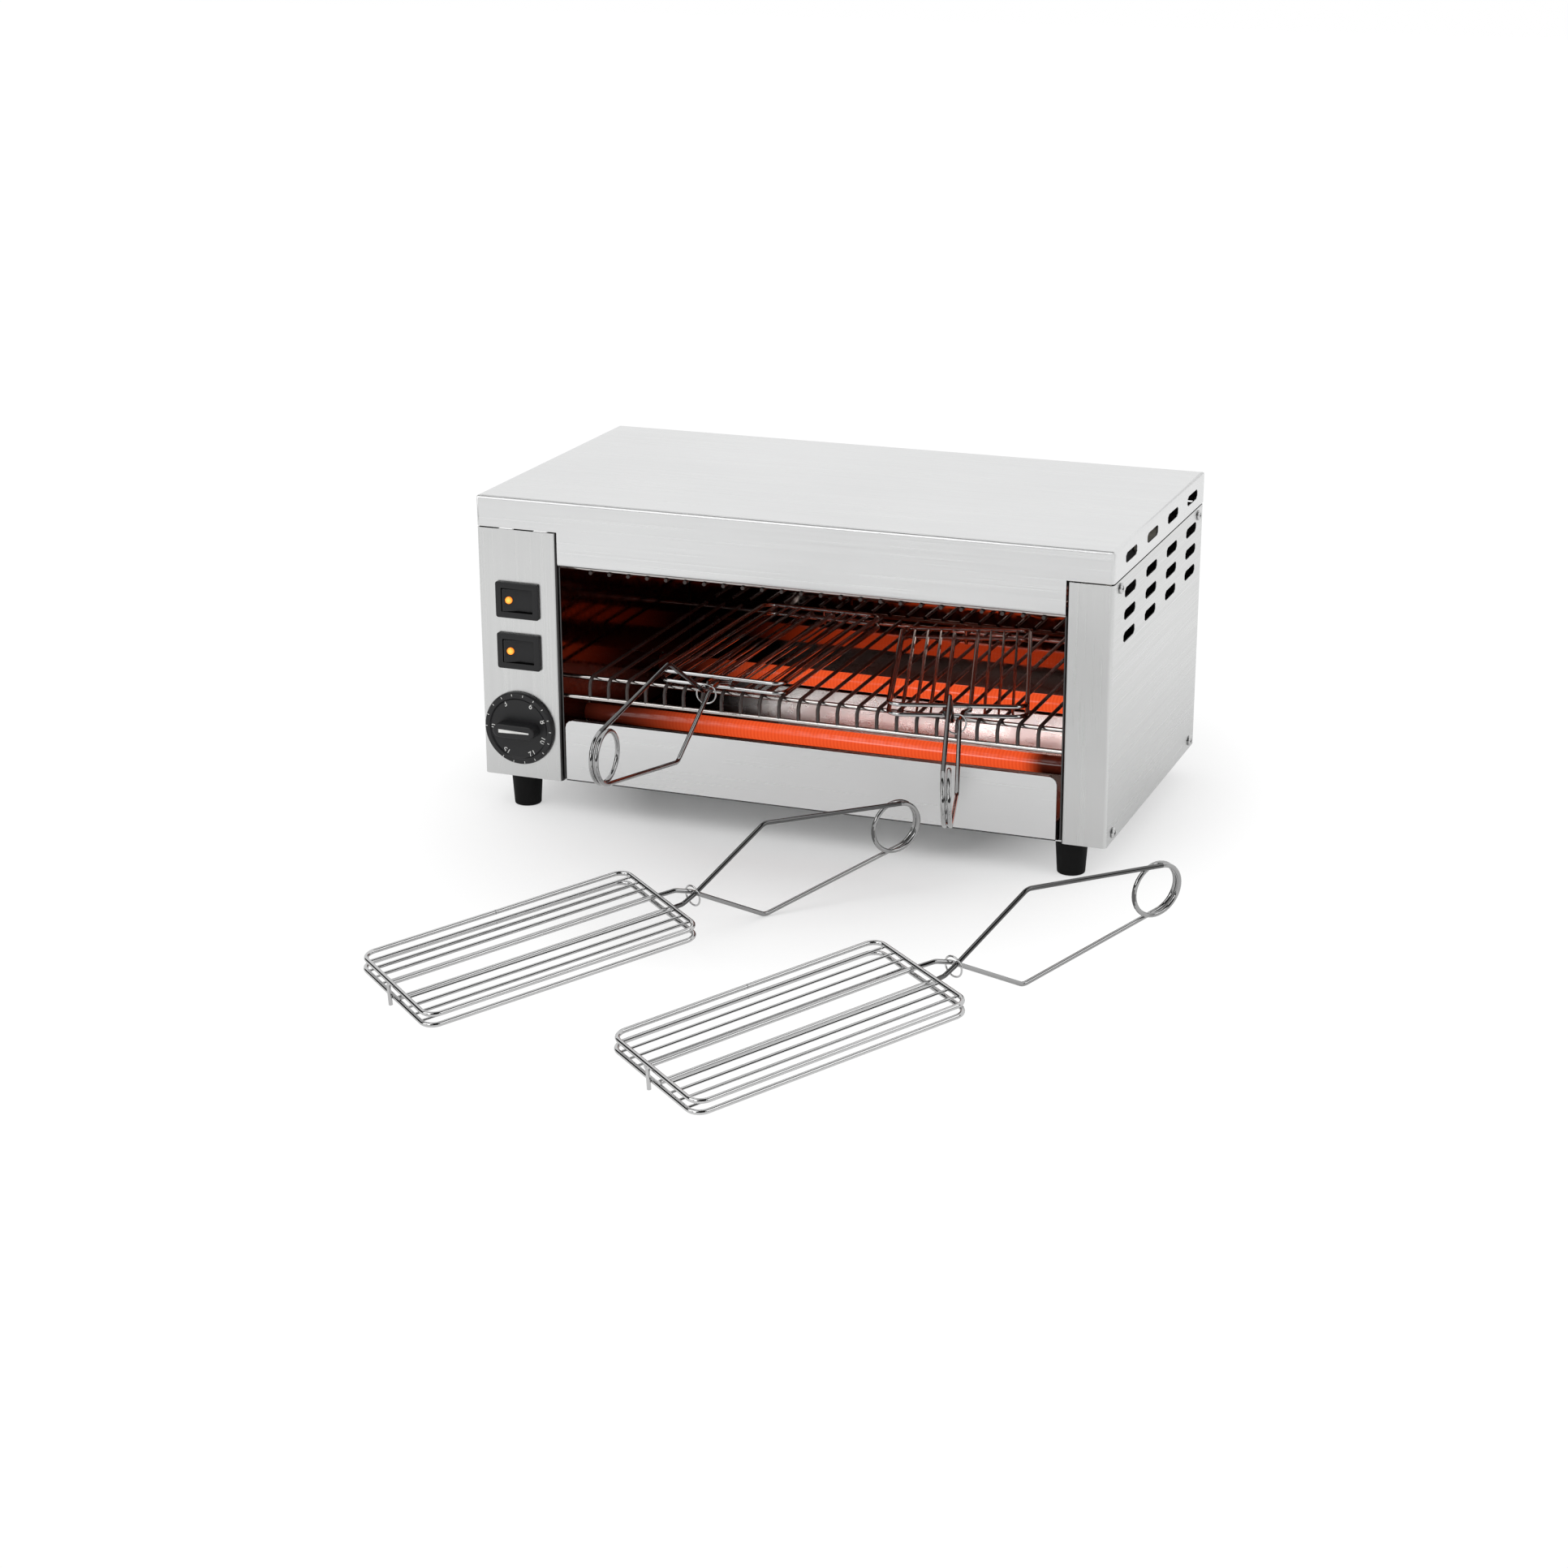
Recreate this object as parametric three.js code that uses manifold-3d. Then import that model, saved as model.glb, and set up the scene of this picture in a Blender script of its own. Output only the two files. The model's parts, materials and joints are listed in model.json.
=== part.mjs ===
// Clamp toaster: a steel quartz oven open at the front, with four wire tongs.
// Millimetres, +Z up, X to the right, Y to the back. The pieces are drawn from the body's front left
// corner at its floor, and the whole is then set with the front left foot's sole at the origin.
import * as THREE from 'three';
import { mergeVertices } from 'three/addons/utils/BufferGeometryUtils.js';
import Module from 'manifold-3d';

const wasm = await Module();
wasm.setup();

// Body
const bodyWidth = 428;
const bodyDepth = 228;
const bodyHeight = 190;
const sheet = 1;
const bendRadius = 2.4;
const bendSteps = 3;
const seat = 0.3;
const overrun = 2;
const mergeGap = 0.0001;

// Cover: skirts all round, and a deep band over the opening
const skirtDepth = 20.5;
const panelGap = 0.8;
const bandHeight = 43.2;
const bandGap = 0.6;
const bandReturn = 11;
const bandHem = 3.5;

// Control panel at the left of the front, column at its right
const controlWidth = 56.6;
const columnWidth = 29.2;
const panelReturn = 11;
const panUpturn = 20;
const panEndGap = 3.4;

// Vents
const ventLength = 28;
const ventHeight = 6.5;
const ventColumns = 4;
const ventRows = 3;
const ventEndSteps = 3;
const ventFirstShare = 0.175;
const ventPitchShare = 0.226;
const ventTopDrop = 11.2;
const ventRowPitch = 14.3;
const coverVentDrop = 10.5;
const backVentRows = 2;
const backVentColumns = 5;
const backVentPitch = 60;

// Feet
const footHeight = 22;
const footTopRadius = 10.3;
const footBottomRadius = 8.9;
const footChamfer = 1;
const footInsetX = 25;
const footInsetY = 12;
const footSides = 16;

// Cavity
const wallGap = 0.4;
const cavityRearGap = 13;
const wallTopDrop = 16;
const ceilingDip = 3;
const ceilingFlange = 10;
const ceilingFlat = 22;
const ceilingSlope = 16;

// Crumb tray, with the lower front panel as its front wall
const trayTop = 43;
const traySideGap = 1.8;
const trayWall = 12;
const trayReturn = 6;
const trayHem = 3;
const trayCorner = 5;
const trayBackGap = 3;

// Quartz tubes and their ceramic ends
const tubeRadius = 6;
const tubeSides = 12;
const lowerTubeHeight = 37;
const upperTubeDrop = 17;
const frontTubeY = 41;
const rearTubeInset = 50;
const tubeHoleGap = 1;
const ceramicRadius = 8;
const ceramicLength = 15;
const collarRadius = 9.6;
const collarThickness = 2.4;
const ceramicFloor = 2.5;
const ceramicSides = 10;

// Guard rack over the lower tubes and guard grid under the upper ones
const guardWire = 2.5;
const guardRail = 3;
const guardSides = 5;
const guardBendSteps = 2;
const guardWireCount = 24;
const guardEdge = 17.75;
const weld = 0.4;
const rackHeight = 71;
const rackFrontY = 8;
const rackRailHeight = 57.5;
const rackBend = 6;
const rackSecondRailY = 17;
const gridDrop = 16;
const gridFrontY = 15;
const guardBackGap = 9;
const guardEndOverhang = 2;

// Rocker switches
const switchX = 28.3;
const switchWidth = 30.8;
const switchHeight = 24.2;
const switchCentres = [121.6, 87];
const bezelDepth = 2;
const bezelRim = 2.6;
const bezelCorner = 1.6;
const switchBodyDepth = 22;
const switchWall = 1.2;
const rockerPocket = 9;
const rockerGap = 0.4;
const rockerPivotY = 1;
const rockerFlank = 3;
const rockerValley = 1.2;
const rockerKeel = 4.4;
const rockerTilt = 8;
const rockerFlankSteps = 3;
const lampRadius = 2.4;
const lampOffset = 6.2;
const lampPocket = 1.2;
const lampProud = 0.7;
const lampSides = 12;

// Timer and its knob
const knobX = 27;
const knobHeight = 34.3;
const knobRadius = 25;
const knobGap = 0.5;
const knobEdge = 1.2;
const knobRim = 3.2;
const knobSlope = 1;
const knobRimWidth = 4;
const knobDish = 2.2;
const knobSides = 32;
const gripLength = 30;
const gripWidth = 9;
const gripDepth = 11;
const gripBevel = 0.9;
const shaftRadius = 3;
const shaftGap = 1;
const shaftSides = 12;
const timerWidth = 40;
const timerDepth = 26;
const timerCorner = 3;

// Cable gland and terminal block at the back left
const glandX = 40;
const glandHeight = 30;
const glandRadius = 8;
const glandNut = 11;
const glandNutDepth = 5;
const glandDome = 7;
const glandDomeDepth = 9;
const glandBore = 3.6;
const glandThread = 3;
const glandSides = 12;
const terminalX = 34;
const terminalInset = 37;
const terminalWidth = 26;
const terminalDepth = 16;
const terminalHeight = 18;
const terminalHole = 2;
const terminalWays = 3;

// Side screws
const screwHeadRadius = 3.4;
const screwHead = 1.7;
const screwDome = 0.6;
const screwShank = 1.7;
const screwLength = 5;
const screwSides = 6;
const screwFrontY = 15;
const screwBackInset = 16;
const screwLow = 6;
const screwTopDrop = 5;

// Wire tongs: cage, neck, handle and spring coil
const tongWire = 3;
const barWire = 1.6;
const tongSides = 6;
const barSides = 4;
const ringSides = 4;
const cageLength = 174;
const cageWidth = 87;
const cageGap = 6.5;
const cageCorner = 8;
const cornerSteps = 3;
const frameSetback = 1;
const frameOverlap = 1;
const barWeld = 0.5;
const barsEachSide = 3;
const handleOffset = 8;
const handleRun = 2;
const humpRun = 12;
const humpOffset = 4;
const humpRise = 2.2;
const neckRun = 21.5;
const neckOffset = 2.2;
const bendRun = 71.5;
const bendHeight = 32;
const wireBend = 7;
const neckBend = 5;
const wireBendSteps = 2;
const coilRun = 166;
const coilRadius = 16;
const coilPitch = 3.5;
const coilLoopSteps = 24;
const coilSplit = 0.4;
const pegRadius = 1.2;
const pegFoot = 8;
const pegTip = 5;
const pegWeld = 0.35;
const ringRadius = 6.3;
const ringWire = 1.2;
const ringDrop = 1.8;
const ringSwivel = 10;
const ringSteps = 14;

// Places of the tongs: the necks of two that lie on the guard rack, and the far ends of two that lie
// on the table in front, as shares of the body's width and depth
const rackTongs = [
  { name: 'tong_1', xShare: 0.3855, yShare: -0.0439, yaw: -92 },
  { name: 'tong_2', xShare: 0.7804, yShare: -0.0614, yaw: -74 },
];
const tableTongs = [
  { name: 'tong_3', xShare: 0.2450, yShare: -1.4350, yaw: 52.7 },
  { name: 'tong_4', xShare: 0.6691, yShare: -1.6642, yaw: 53.7 },
];

// Planes that follow from the sizes above
const panelTop = bodyHeight - skirtDepth - panelGap;
const skirtBottom = bodyHeight - skirtDepth;
const bandBottom = bodyHeight - bandHeight;
const wallTop = bodyHeight - wallTopDrop;
const ceilingTop = wallTop - sheet;
const upperTubeHeight = wallTop - upperTubeDrop;
const gridHeight = upperTubeHeight - gridDrop;
const columnEdge = bodyWidth - columnWidth;
const leftWall = controlWidth + wallGap;
const rightWall = columnEdge - wallGap;
const backPanelY = bodyDepth - sheet;
const cavityDepth = bodyDepth - cavityRearGap;
const rearTubeY = cavityDepth - rearTubeInset;
const floorTop = sheet + seat;
const rackTop = rackHeight + guardWire / 2;
const tableHeight = -footHeight;
const degree = Math.PI / 180;

// Materials
const steel = { color: 0xcdcfd0, roughness: 0.34, metalness: 1 };
const polished = { color: 0xbdb8b2, roughness: 0.14, metalness: 1 };
const wireSteel = { color: 0xc6c6c6, roughness: 0.18, metalness: 1 };
const black = { color: 0x17181a, roughness: 0.45, metalness: 0 };
const rubber = { color: 0x141414, roughness: 0.85, metalness: 0 };
const quartz = { color: 0xf0521e, roughness: 0.2, metalness: 0 };
const ceramic = { color: 0xe9e4d8, roughness: 0.6, metalness: 0 };
const amber = { color: 0xf59a1c, roughness: 0.3, metalness: 0 };
const nylon = { color: 0xd9d6cc, roughness: 0.5, metalness: 0 };

const group = new THREE.Group();

// Bare merged geometry with its faces turned outward
function closed(geometry) {
  const bare = geometry.clone();
  bare.deleteAttribute('normal');
  bare.deleteAttribute('uv');
  const merged = mergeVertices(bare, mergeGap);
  const index = merged.index.array;
  const place = merged.attributes.position;
  const corner = (i) => new THREE.Vector3().fromBufferAttribute(place, index[i]);
  let volume = 0;
  for (let i = 0; i < index.length; i += 3) {
    volume += corner(i).dot(corner(i + 1).cross(corner(i + 2)));
  }
  if (volume < 0) {
    for (let i = 0; i < index.length; i += 3) {
      [index[i + 1], index[i + 2]] = [index[i + 2], index[i + 1]];
    }
  }
  return merged;
}

function solidOf(geometry) {
  const merged = closed(geometry);
  return new wasm.Manifold(new wasm.Mesh({
    numProp: 3,
    vertProperties: new Float32Array(merged.attributes.position.array),
    triVerts: new Uint32Array(merged.index.array),
  }));
}

function geometryOf(solid) {
  const { vertProperties, triVerts, numProp } = solid.getMesh();
  const places = new Float32Array((vertProperties.length / numProp) * 3);
  for (let i = 0; i < places.length / 3; i += 1) {
    places.set(vertProperties.subarray(i * numProp, i * numProp + 3), i * 3);
  }
  const geometry = new THREE.BufferGeometry();
  geometry.setAttribute('position', new THREE.BufferAttribute(places, 3));
  geometry.setIndex(new THREE.BufferAttribute(new Uint32Array(triVerts), 1));
  return geometry;
}

function add(name, shape, finish, parent = group) {
  const geometry = shape.isBufferGeometry ? closed(shape) : geometryOf(shape);
  geometry.computeVertexNormals();
  const mesh = new THREE.Mesh(geometry, new THREE.MeshStandardMaterial(finish));
  mesh.name = name;
  parent.add(mesh);
  return mesh;
}

const join = (solids) => solids.reduce((whole, solid) => whole.add(solid));
const cut = (solid, tools) => tools.reduce((whole, tool) => whole.subtract(tool), solid);

function block(low, high) {
  const geometry = new THREE.BoxGeometry(high[0] - low[0], high[1] - low[1], high[2] - low[2]);
  geometry.translate((low[0] + high[0]) / 2, (low[1] + high[1]) / 2, (low[2] + high[2]) / 2);
  return solidOf(geometry);
}

// Points of an arc about a centre, from one angle in degrees to another
function arc(x, y, radius, from, to, steps) {
  const points = [];
  for (let i = 0; i <= steps; i += 1) {
    const angle = (from + (to - from) * i / steps) * degree;
    points.push(new THREE.Vector2(x + radius * Math.cos(angle), y + radius * Math.sin(angle)));
  }
  return points;
}

// A rounded rectangle about the origin
function roundedRect(width, height, radius) {
  const x = width / 2 - radius;
  const y = height / 2 - radius;
  return new THREE.Shape([
    ...arc(x, y, radius, 0, 90, bendSteps),
    ...arc(-x, y, radius, 90, 180, bendSteps),
    ...arc(-x, -y, radius, 180, 270, bendSteps),
    ...arc(x, -y, radius, 270, 360, bendSteps),
  ]);
}

// A rectangle whose two upper corners are rounded
function archShape(left, right, bottom, top, radius) {
  return new THREE.Shape([
    new THREE.Vector2(left, bottom),
    new THREE.Vector2(right, bottom),
    ...arc(right - radius, top - radius, radius, 0, 90, bendSteps),
    ...arc(left + radius, top - radius, radius, 90, 180, bendSteps),
  ]);
}

// A slot with round ends, long along the first axis
function slotShape(length, height) {
  const reach = (length - height) / 2;
  return new THREE.Shape([
    ...arc(reach, 0, height / 2, -90, 90, ventEndSteps),
    ...arc(-reach, 0, height / 2, 90, 270, ventEndSteps),
  ]);
}

function polygon(radius, sides) {
  const half = 180 / sides;
  return new THREE.Shape(arc(0, 0, radius, half, 360 - half, sides - 1));
}

function prism(shape, depth) {
  return new THREE.ExtrudeGeometry(shape, { depth, bevelEnabled: false });
}

// A prism whose section lies in YZ and which runs along +X
function alongX(shape, from, to) {
  const geometry = prism(shape, to - from);
  geometry.rotateX(Math.PI / 2);
  geometry.rotateZ(Math.PI / 2);
  geometry.translate(from, 0, 0);
  return geometry;
}

// A prism whose section lies in XZ and which runs along +Y
function alongY(shape, from, to) {
  const geometry = prism(shape, to - from);
  geometry.rotateX(Math.PI / 2);
  geometry.translate(0, to, 0);
  return geometry;
}

// A turned piece about Z, from radii and heights
function turned(profile, sides) {
  const points = profile.map(([radius, height]) => new THREE.Vector2(radius, height));
  const geometry = new THREE.LatheGeometry(points, sides);
  geometry.rotateX(Math.PI / 2);
  return geometry;
}

// The section of a folded sheet: an outer line with round bends and the steel on its left
function foldedSheet(line, radius = bendRadius) {
  const outer = [];
  const inner = [];
  const left = (way) => new THREE.Vector2(-way.y, way.x);
  const put = (point, normal) => {
    outer.push(point.clone());
    inner.push(point.clone().addScaledVector(normal, sheet));
  };
  const points = line.map(([x, y]) => new THREE.Vector2(x, y));
  const wayFrom = (i) => points[i + 1].clone().sub(points[i]).normalize();
  const last = points.length - 1;
  put(points[0], left(wayFrom(0)));
  for (let i = 1; i < last; i += 1) {
    const before = wayFrom(i - 1);
    const after = wayFrom(i);
    const turn = Math.atan2(before.cross(after), before.dot(after));
    const side = Math.sign(turn);
    const bend = side > 0 ? radius : radius - sheet;
    const start = points[i].clone().addScaledVector(before, -bend * Math.tan(Math.abs(turn) / 2));
    const centre = start.clone().addScaledVector(left(before), side * bend);
    for (let k = 0; k <= bendSteps; k += 1) {
      const normal = left(before).rotateAround(new THREE.Vector2(), turn * k / bendSteps);
      put(centre.clone().addScaledVector(normal, -side * bend), normal);
    }
  }
  put(points[last], left(wayFrom(last - 1)));
  return new THREE.Shape([...outer, ...inner.reverse()]);
}

// A path through chosen points, so that each bend of a wire gets its own few steps
class WirePath extends THREE.Curve {
  constructor(points) {
    super();
    this.points = points;
  }

  getPointAt(t) {
    return this.points[Math.round(t * (this.points.length - 1))].clone();
  }

  getTangentAt(t) {
    const last = this.points.length - 1;
    const i = Math.round(t * last);
    const tangent = new THREE.Vector3();
    if (i > 0) tangent.add(this.points[i].clone().sub(this.points[i - 1]).normalize());
    if (i < last) tangent.add(this.points[i + 1].clone().sub(this.points[i]).normalize());
    return tangent.normalize();
  }
}

function wire(points, diameter, sides) {
  const extrudePath = new WirePath(points);
  const steps = points.length - 1;
  return solidOf(new THREE.ExtrudeGeometry(polygon(diameter / 2, sides), { steps, extrudePath }));
}

const at = (x, y, z) => new THREE.Vector3(x, y, z);

// Corner points with round bends; each corner is a point and the radius of its bend
function bent(corners, steps) {
  const points = [corners[0][0]];
  for (let i = 1; i < corners.length - 1; i += 1) {
    const [corner, radius] = corners[i];
    const before = corner.clone().sub(corners[i - 1][0]).normalize();
    const after = corners[i + 1][0].clone().sub(corner).normalize();
    const turn = before.angleTo(after);
    const start = corner.clone().addScaledVector(before, -radius * Math.tan(turn / 2));
    const inward = after.clone().addScaledVector(before, -before.dot(after)).normalize();
    const centre = start.clone().addScaledVector(inward, radius);
    for (let k = 0; k <= steps; k += 1) {
      const angle = turn * k / steps;
      const point = centre.clone().addScaledVector(inward, -radius * Math.cos(angle));
      points.push(point.addScaledVector(before, radius * Math.sin(angle)));
    }
  }
  points.push(corners[corners.length - 1][0]);
  return points;
}

// Vents through the steel between two planes of X
function sideVents(from, to, rows, height) {
  const vents = [];
  for (let row = 0; row < rows; row += 1) {
    for (let column = 0; column < ventColumns; column += 1) {
      const vent = alongX(slotShape(ventLength, ventHeight), from, to);
      const y = bodyDepth * (ventFirstShare + column * ventPitchShare);
      vent.translate(0, y, height - row * ventRowPitch);
      vents.push(solidOf(vent));
    }
  }
  return vents;
}

const screwPlaces = [
  [screwFrontY, screwLow],
  [bodyDepth - screwBackInset, screwLow],
  [screwFrontY, panelTop - screwTopDrop],
  [bodyDepth - screwBackInset, panelTop - screwTopDrop],
];

function screwHoles(from, to) {
  return screwPlaces.map(([y, z]) => {
    const hole = alongX(polygon(screwShank + seat, screwSides), from, to);
    hole.translate(0, y, z);
    return solidOf(hole);
  });
}

// Cover
function coverBlock(inset, bottom) {
  const radius = bendRadius - inset;
  const top = bodyHeight - inset;
  const plan = prism(roundedRect(bodyWidth - 2 * inset, bodyDepth - 2 * inset, radius), top - bottom);
  plan.translate(bodyWidth / 2, bodyDepth / 2, bottom);
  const side = alongX(archShape(inset, bodyDepth - inset, bottom, top, radius), inset, bodyWidth - inset);
  const front = alongY(archShape(inset, bodyWidth - inset, bottom, top, radius), inset, bodyDepth - inset);
  return solidOf(plan).intersect(solidOf(side)).intersect(solidOf(front));
}

function topCover() {
  const under = bandBottom - overrun;
  const bandLeft = controlWidth + bandGap;
  const bandRight = columnEdge - bandGap;
  const left = -overrun;
  const right = bodyWidth + overrun;
  const back = bodyDepth + overrun;
  const lipTop = bandBottom + bandReturn;
  const shell = cut(coverBlock(0, bandBottom), [
    coverBlock(sheet, under),
    block([left, -overrun, under], [bandLeft, back, skirtBottom]),
    block([bandRight, -overrun, under], [right, back, skirtBottom]),
    block([left, bendRadius, under], [right, back, skirtBottom]),
    block([bandLeft, -overrun, under], [bandRight, bendRadius, lipTop]),
    ...sideVents(left, right, 1, bodyHeight - coverVentDrop),
  ]);
  const lip = foldedSheet([
    [0, lipTop + weld],
    [0, bandBottom],
    [bandReturn, bandBottom],
    [bandReturn, bandBottom + bandHem],
  ]);
  return shell.add(solidOf(alongX(lip, bandLeft, bandRight)));
}

// Side panels: each is one sheet folded round the front corner and turned in at both ends
function sidePanel(frontWidth) {
  const rear = backPanelY - seat;
  const line = [
    [panelReturn, rear],
    [0, rear],
    [0, 0],
    [frontWidth, 0],
    [frontWidth, panelReturn],
  ];
  const panNotch = block(
    [frontWidth - bendRadius, panEndGap - seat, -overrun],
    [frontWidth + overrun, panelReturn + overrun, floorTop],
  );
  return cut(solidOf(prism(foldedSheet(line), panelTop)), [
    panNotch,
    ...sideVents(-overrun, sheet + overrun, ventRows, panelTop - ventTopDrop),
    ...screwHoles(-overrun, sheet + overrun),
  ]);
}

function leftPanel() {
  const reach = [switchWidth / 2 - bezelRim, switchHeight / 2 - bezelRim];
  const windows = switchCentres.map((z) => block(
    [switchX - reach[0], -overrun, z - reach[1]],
    [switchX + reach[0], sheet + overrun, z + reach[1]],
  ));
  const shaftHole = alongY(polygon(shaftRadius + shaftGap, shaftSides), -overrun, sheet + overrun);
  shaftHole.translate(knobX, 0, knobHeight);
  return cut(sidePanel(controlWidth), [...windows, solidOf(shaftHole)]);
}

function rightPanel() {
  const geometry = geometryOf(sidePanel(columnWidth));
  geometry.scale(-1, 1, 1);
  geometry.translate(bodyWidth, 0, 0);
  return geometry;
}

// Back panel with the cable inlet and two rows of vents
function backPanel() {
  const plate = alongY(roundedRect(bodyWidth - 2 * sheet, panelTop, bendRadius), backPanelY, bodyDepth);
  plate.translate(bodyWidth / 2, 0, panelTop / 2);
  const from = backPanelY - overrun;
  const to = bodyDepth + overrun;
  const inlet = alongY(polygon(glandRadius + seat, glandSides), from, to);
  inlet.translate(glandX, 0, glandHeight);
  const cuts = [solidOf(inlet)];
  for (let row = 0; row < backVentRows; row += 1) {
    for (let column = 0; column < backVentColumns; column += 1) {
      const vent = alongY(slotShape(ventLength, ventHeight), from, to);
      const x = bodyWidth / 2 + (column - (backVentColumns - 1) / 2) * backVentPitch;
      vent.translate(x, 0, panelTop - ventTopDrop - row * ventRowPitch);
      cuts.push(solidOf(vent));
    }
  }
  return cut(solidOf(plate), cuts);
}

// Base pan, turned up inside the side panels
function basePan() {
  const left = sheet + seat;
  const right = bodyWidth - left;
  const outline = foldedSheet([[left, panUpturn], [left, 0], [right, 0], [right, panUpturn]]);
  const pan = alongY(outline, panEndGap, bodyDepth - panEndGap);
  return cut(solidOf(pan), screwHoles(0, bodyWidth));
}

// Cavity walls, notched round the cover's return, with holes for the tubes
const tubePlaces = [
  { name: 'lower_front', y: frontTubeY, z: lowerTubeHeight },
  { name: 'lower_rear', y: rearTubeY, z: lowerTubeHeight },
  { name: 'upper_front', y: frontTubeY, z: upperTubeHeight },
  { name: 'upper_rear', y: rearTubeY, z: upperTubeHeight },
];

function cavityWall(x) {
  const notch = bandBottom - wallGap;
  const outline = new THREE.Shape([
    new THREE.Vector2(bendRadius, floorTop),
    new THREE.Vector2(cavityDepth - seat, floorTop),
    new THREE.Vector2(cavityDepth - seat, wallTop),
    new THREE.Vector2(bandReturn + wallGap, wallTop),
    new THREE.Vector2(bandReturn + wallGap, notch),
    new THREE.Vector2(bendRadius, notch),
  ]);
  const holes = tubePlaces.map(({ y, z }) => {
    const hole = alongX(polygon(tubeRadius + tubeHoleGap, tubeSides), x - overrun, x + sheet + overrun);
    hole.translate(0, y, z);
    return solidOf(hole);
  });
  return cut(solidOf(alongX(outline, x, x + sheet)), holes);
}

// Back wall of the cavity, a channel whose flanges stand off the back panel
function cavityBackWall() {
  const rear = backPanelY - seat;
  const line = [[leftWall, rear], [leftWall, cavityDepth], [rightWall, cavityDepth], [rightWall, rear]];
  const channel = prism(foldedSheet(line), wallTop - floorTop);
  channel.translate(0, 0, floorTop);
  return channel;
}

// Ceiling reflector: turned down behind the band and dished between the two upper tubes
function ceilingReflector() {
  const front = bandReturn + wallGap + seat;
  const rear = cavityDepth - seat;
  const line = [
    [rear, ceilingTop],
    [rearTubeY - ceilingFlat, ceilingTop],
    [rearTubeY - ceilingFlat - ceilingSlope, ceilingTop - ceilingDip],
    [frontTubeY + ceilingFlat + ceilingSlope, ceilingTop - ceilingDip],
    [frontTubeY + ceilingFlat, ceilingTop],
    [front, ceilingTop],
    [front, ceilingTop - ceilingFlange],
  ];
  return alongX(foldedSheet(line), leftWall + sheet + seat, rightWall - sheet - seat);
}

// Crumb tray
function crumbTray() {
  const left = leftWall + sheet + traySideGap;
  const right = rightWall - sheet - traySideGap;
  const back = cavityDepth - trayBackGap;
  const front = alongY(archShape(left, right, floorTop, trayTop, trayCorner), 0, sheet);
  const lip = foldedSheet([[trayReturn, trayTop - trayHem], [trayReturn, trayTop], [sheet / 2, trayTop]]);
  const pan = block([left, 0, floorTop], [right, back, floorTop + trayWall]);
  const hollow = block(
    [left + sheet, sheet, floorTop + sheet],
    [right - sheet, back - sheet, floorTop + trayWall + overrun],
  );
  return join([
    solidOf(front),
    pan.subtract(hollow),
    solidOf(alongX(lip, left + trayCorner, right - trayCorner)),
  ]);
}

// Guards: straight wires laid across rails, and on the rack bent down to a front rail
const guardLeft = leftWall + sheet + seat;
const guardRight = rightWall - sheet - seat;
const guardBackY = cavityDepth - guardBackGap;
const guardSink = (guardWire + guardRail) / 2 - weld;

function guardRailAt(y, z) {
  return wire([at(guardLeft, y, z), at(guardRight, y, z)], guardRail, guardSides);
}

function guardWireXs() {
  const first = leftWall + guardEdge;
  const pitch = (rightWall - guardEdge - first) / (guardWireCount - 1);
  return Array.from({ length: guardWireCount }, (_, i) => first + i * pitch);
}

function guardRack() {
  const wires = guardWireXs().map((x) => wire(bent([
    [at(x, guardBackY + guardEndOverhang, rackHeight)],
    [at(x, rackFrontY, rackHeight), rackBend],
    [at(x, rackFrontY, rackRailHeight)],
  ], guardBendSteps), guardWire, guardSides));
  return join([
    guardRailAt(rackFrontY, rackRailHeight),
    guardRailAt(rackSecondRailY, rackHeight - guardSink),
    guardRailAt(guardBackY, rackHeight - guardSink),
    ...wires,
  ]);
}

function guardGrid() {
  const wires = guardWireXs().map((x) => wire([
    at(x, gridFrontY - guardEndOverhang, gridHeight),
    at(x, guardBackY + guardEndOverhang, gridHeight),
  ], guardWire, guardSides));
  return join([
    guardRailAt(gridFrontY, gridHeight + guardSink),
    guardRailAt(guardBackY, gridHeight + guardSink),
    ...wires,
  ]);
}

// Quartz tubes and the ceramic ends that hold them outside the walls
const tubeReach = ceramicLength - ceramicFloor;

function quartzTube() {
  return alongX(polygon(tubeRadius, tubeSides), leftWall - tubeReach, rightWall + tubeReach);
}

function ceramicEnd() {
  const bore = (tubeRadius + seat) / Math.cos(Math.PI / ceramicSides);
  return turned([
    [0, tubeReach],
    [bore, tubeReach],
    [bore, 0],
    [collarRadius, 0],
    [collarRadius, collarThickness],
    [ceramicRadius, collarThickness],
    [ceramicRadius, ceramicLength],
    [0, ceramicLength],
  ], ceramicSides);
}

function foot() {
  return turned([
    [0, tableHeight],
    [footBottomRadius - footChamfer, tableHeight],
    [footBottomRadius, tableHeight + footChamfer],
    [footTopRadius, -seat],
    [0, -seat],
  ], footSides);
}

// Switches: a housing through the panel and a rocker that turns about an upright axis
const housingWidth = switchWidth - 2 * bezelRim - 2 * seat;
const housingHeight = switchHeight - 2 * bezelRim - 2 * seat;
const pocketWidth = housingWidth - 2 * switchWall;
const pocketHeight = housingHeight - 2 * switchWall;
const rockerReach = pocketWidth / 2 - rockerGap;

function switchHousing() {
  const bezel = alongY(roundedRect(switchWidth, switchHeight, bezelCorner), -seat - bezelDepth, -seat);
  const tub = block(
    [-housingWidth / 2, -seat - bezelDepth / 2, -housingHeight / 2],
    [housingWidth / 2, switchBodyDepth, housingHeight / 2],
  );
  const pocket = block(
    [-pocketWidth / 2, -bezelDepth - overrun, -pocketHeight / 2],
    [pocketWidth / 2, rockerPocket, pocketHeight / 2],
  );
  return solidOf(bezel).add(tub).subtract(pocket);
}

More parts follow.
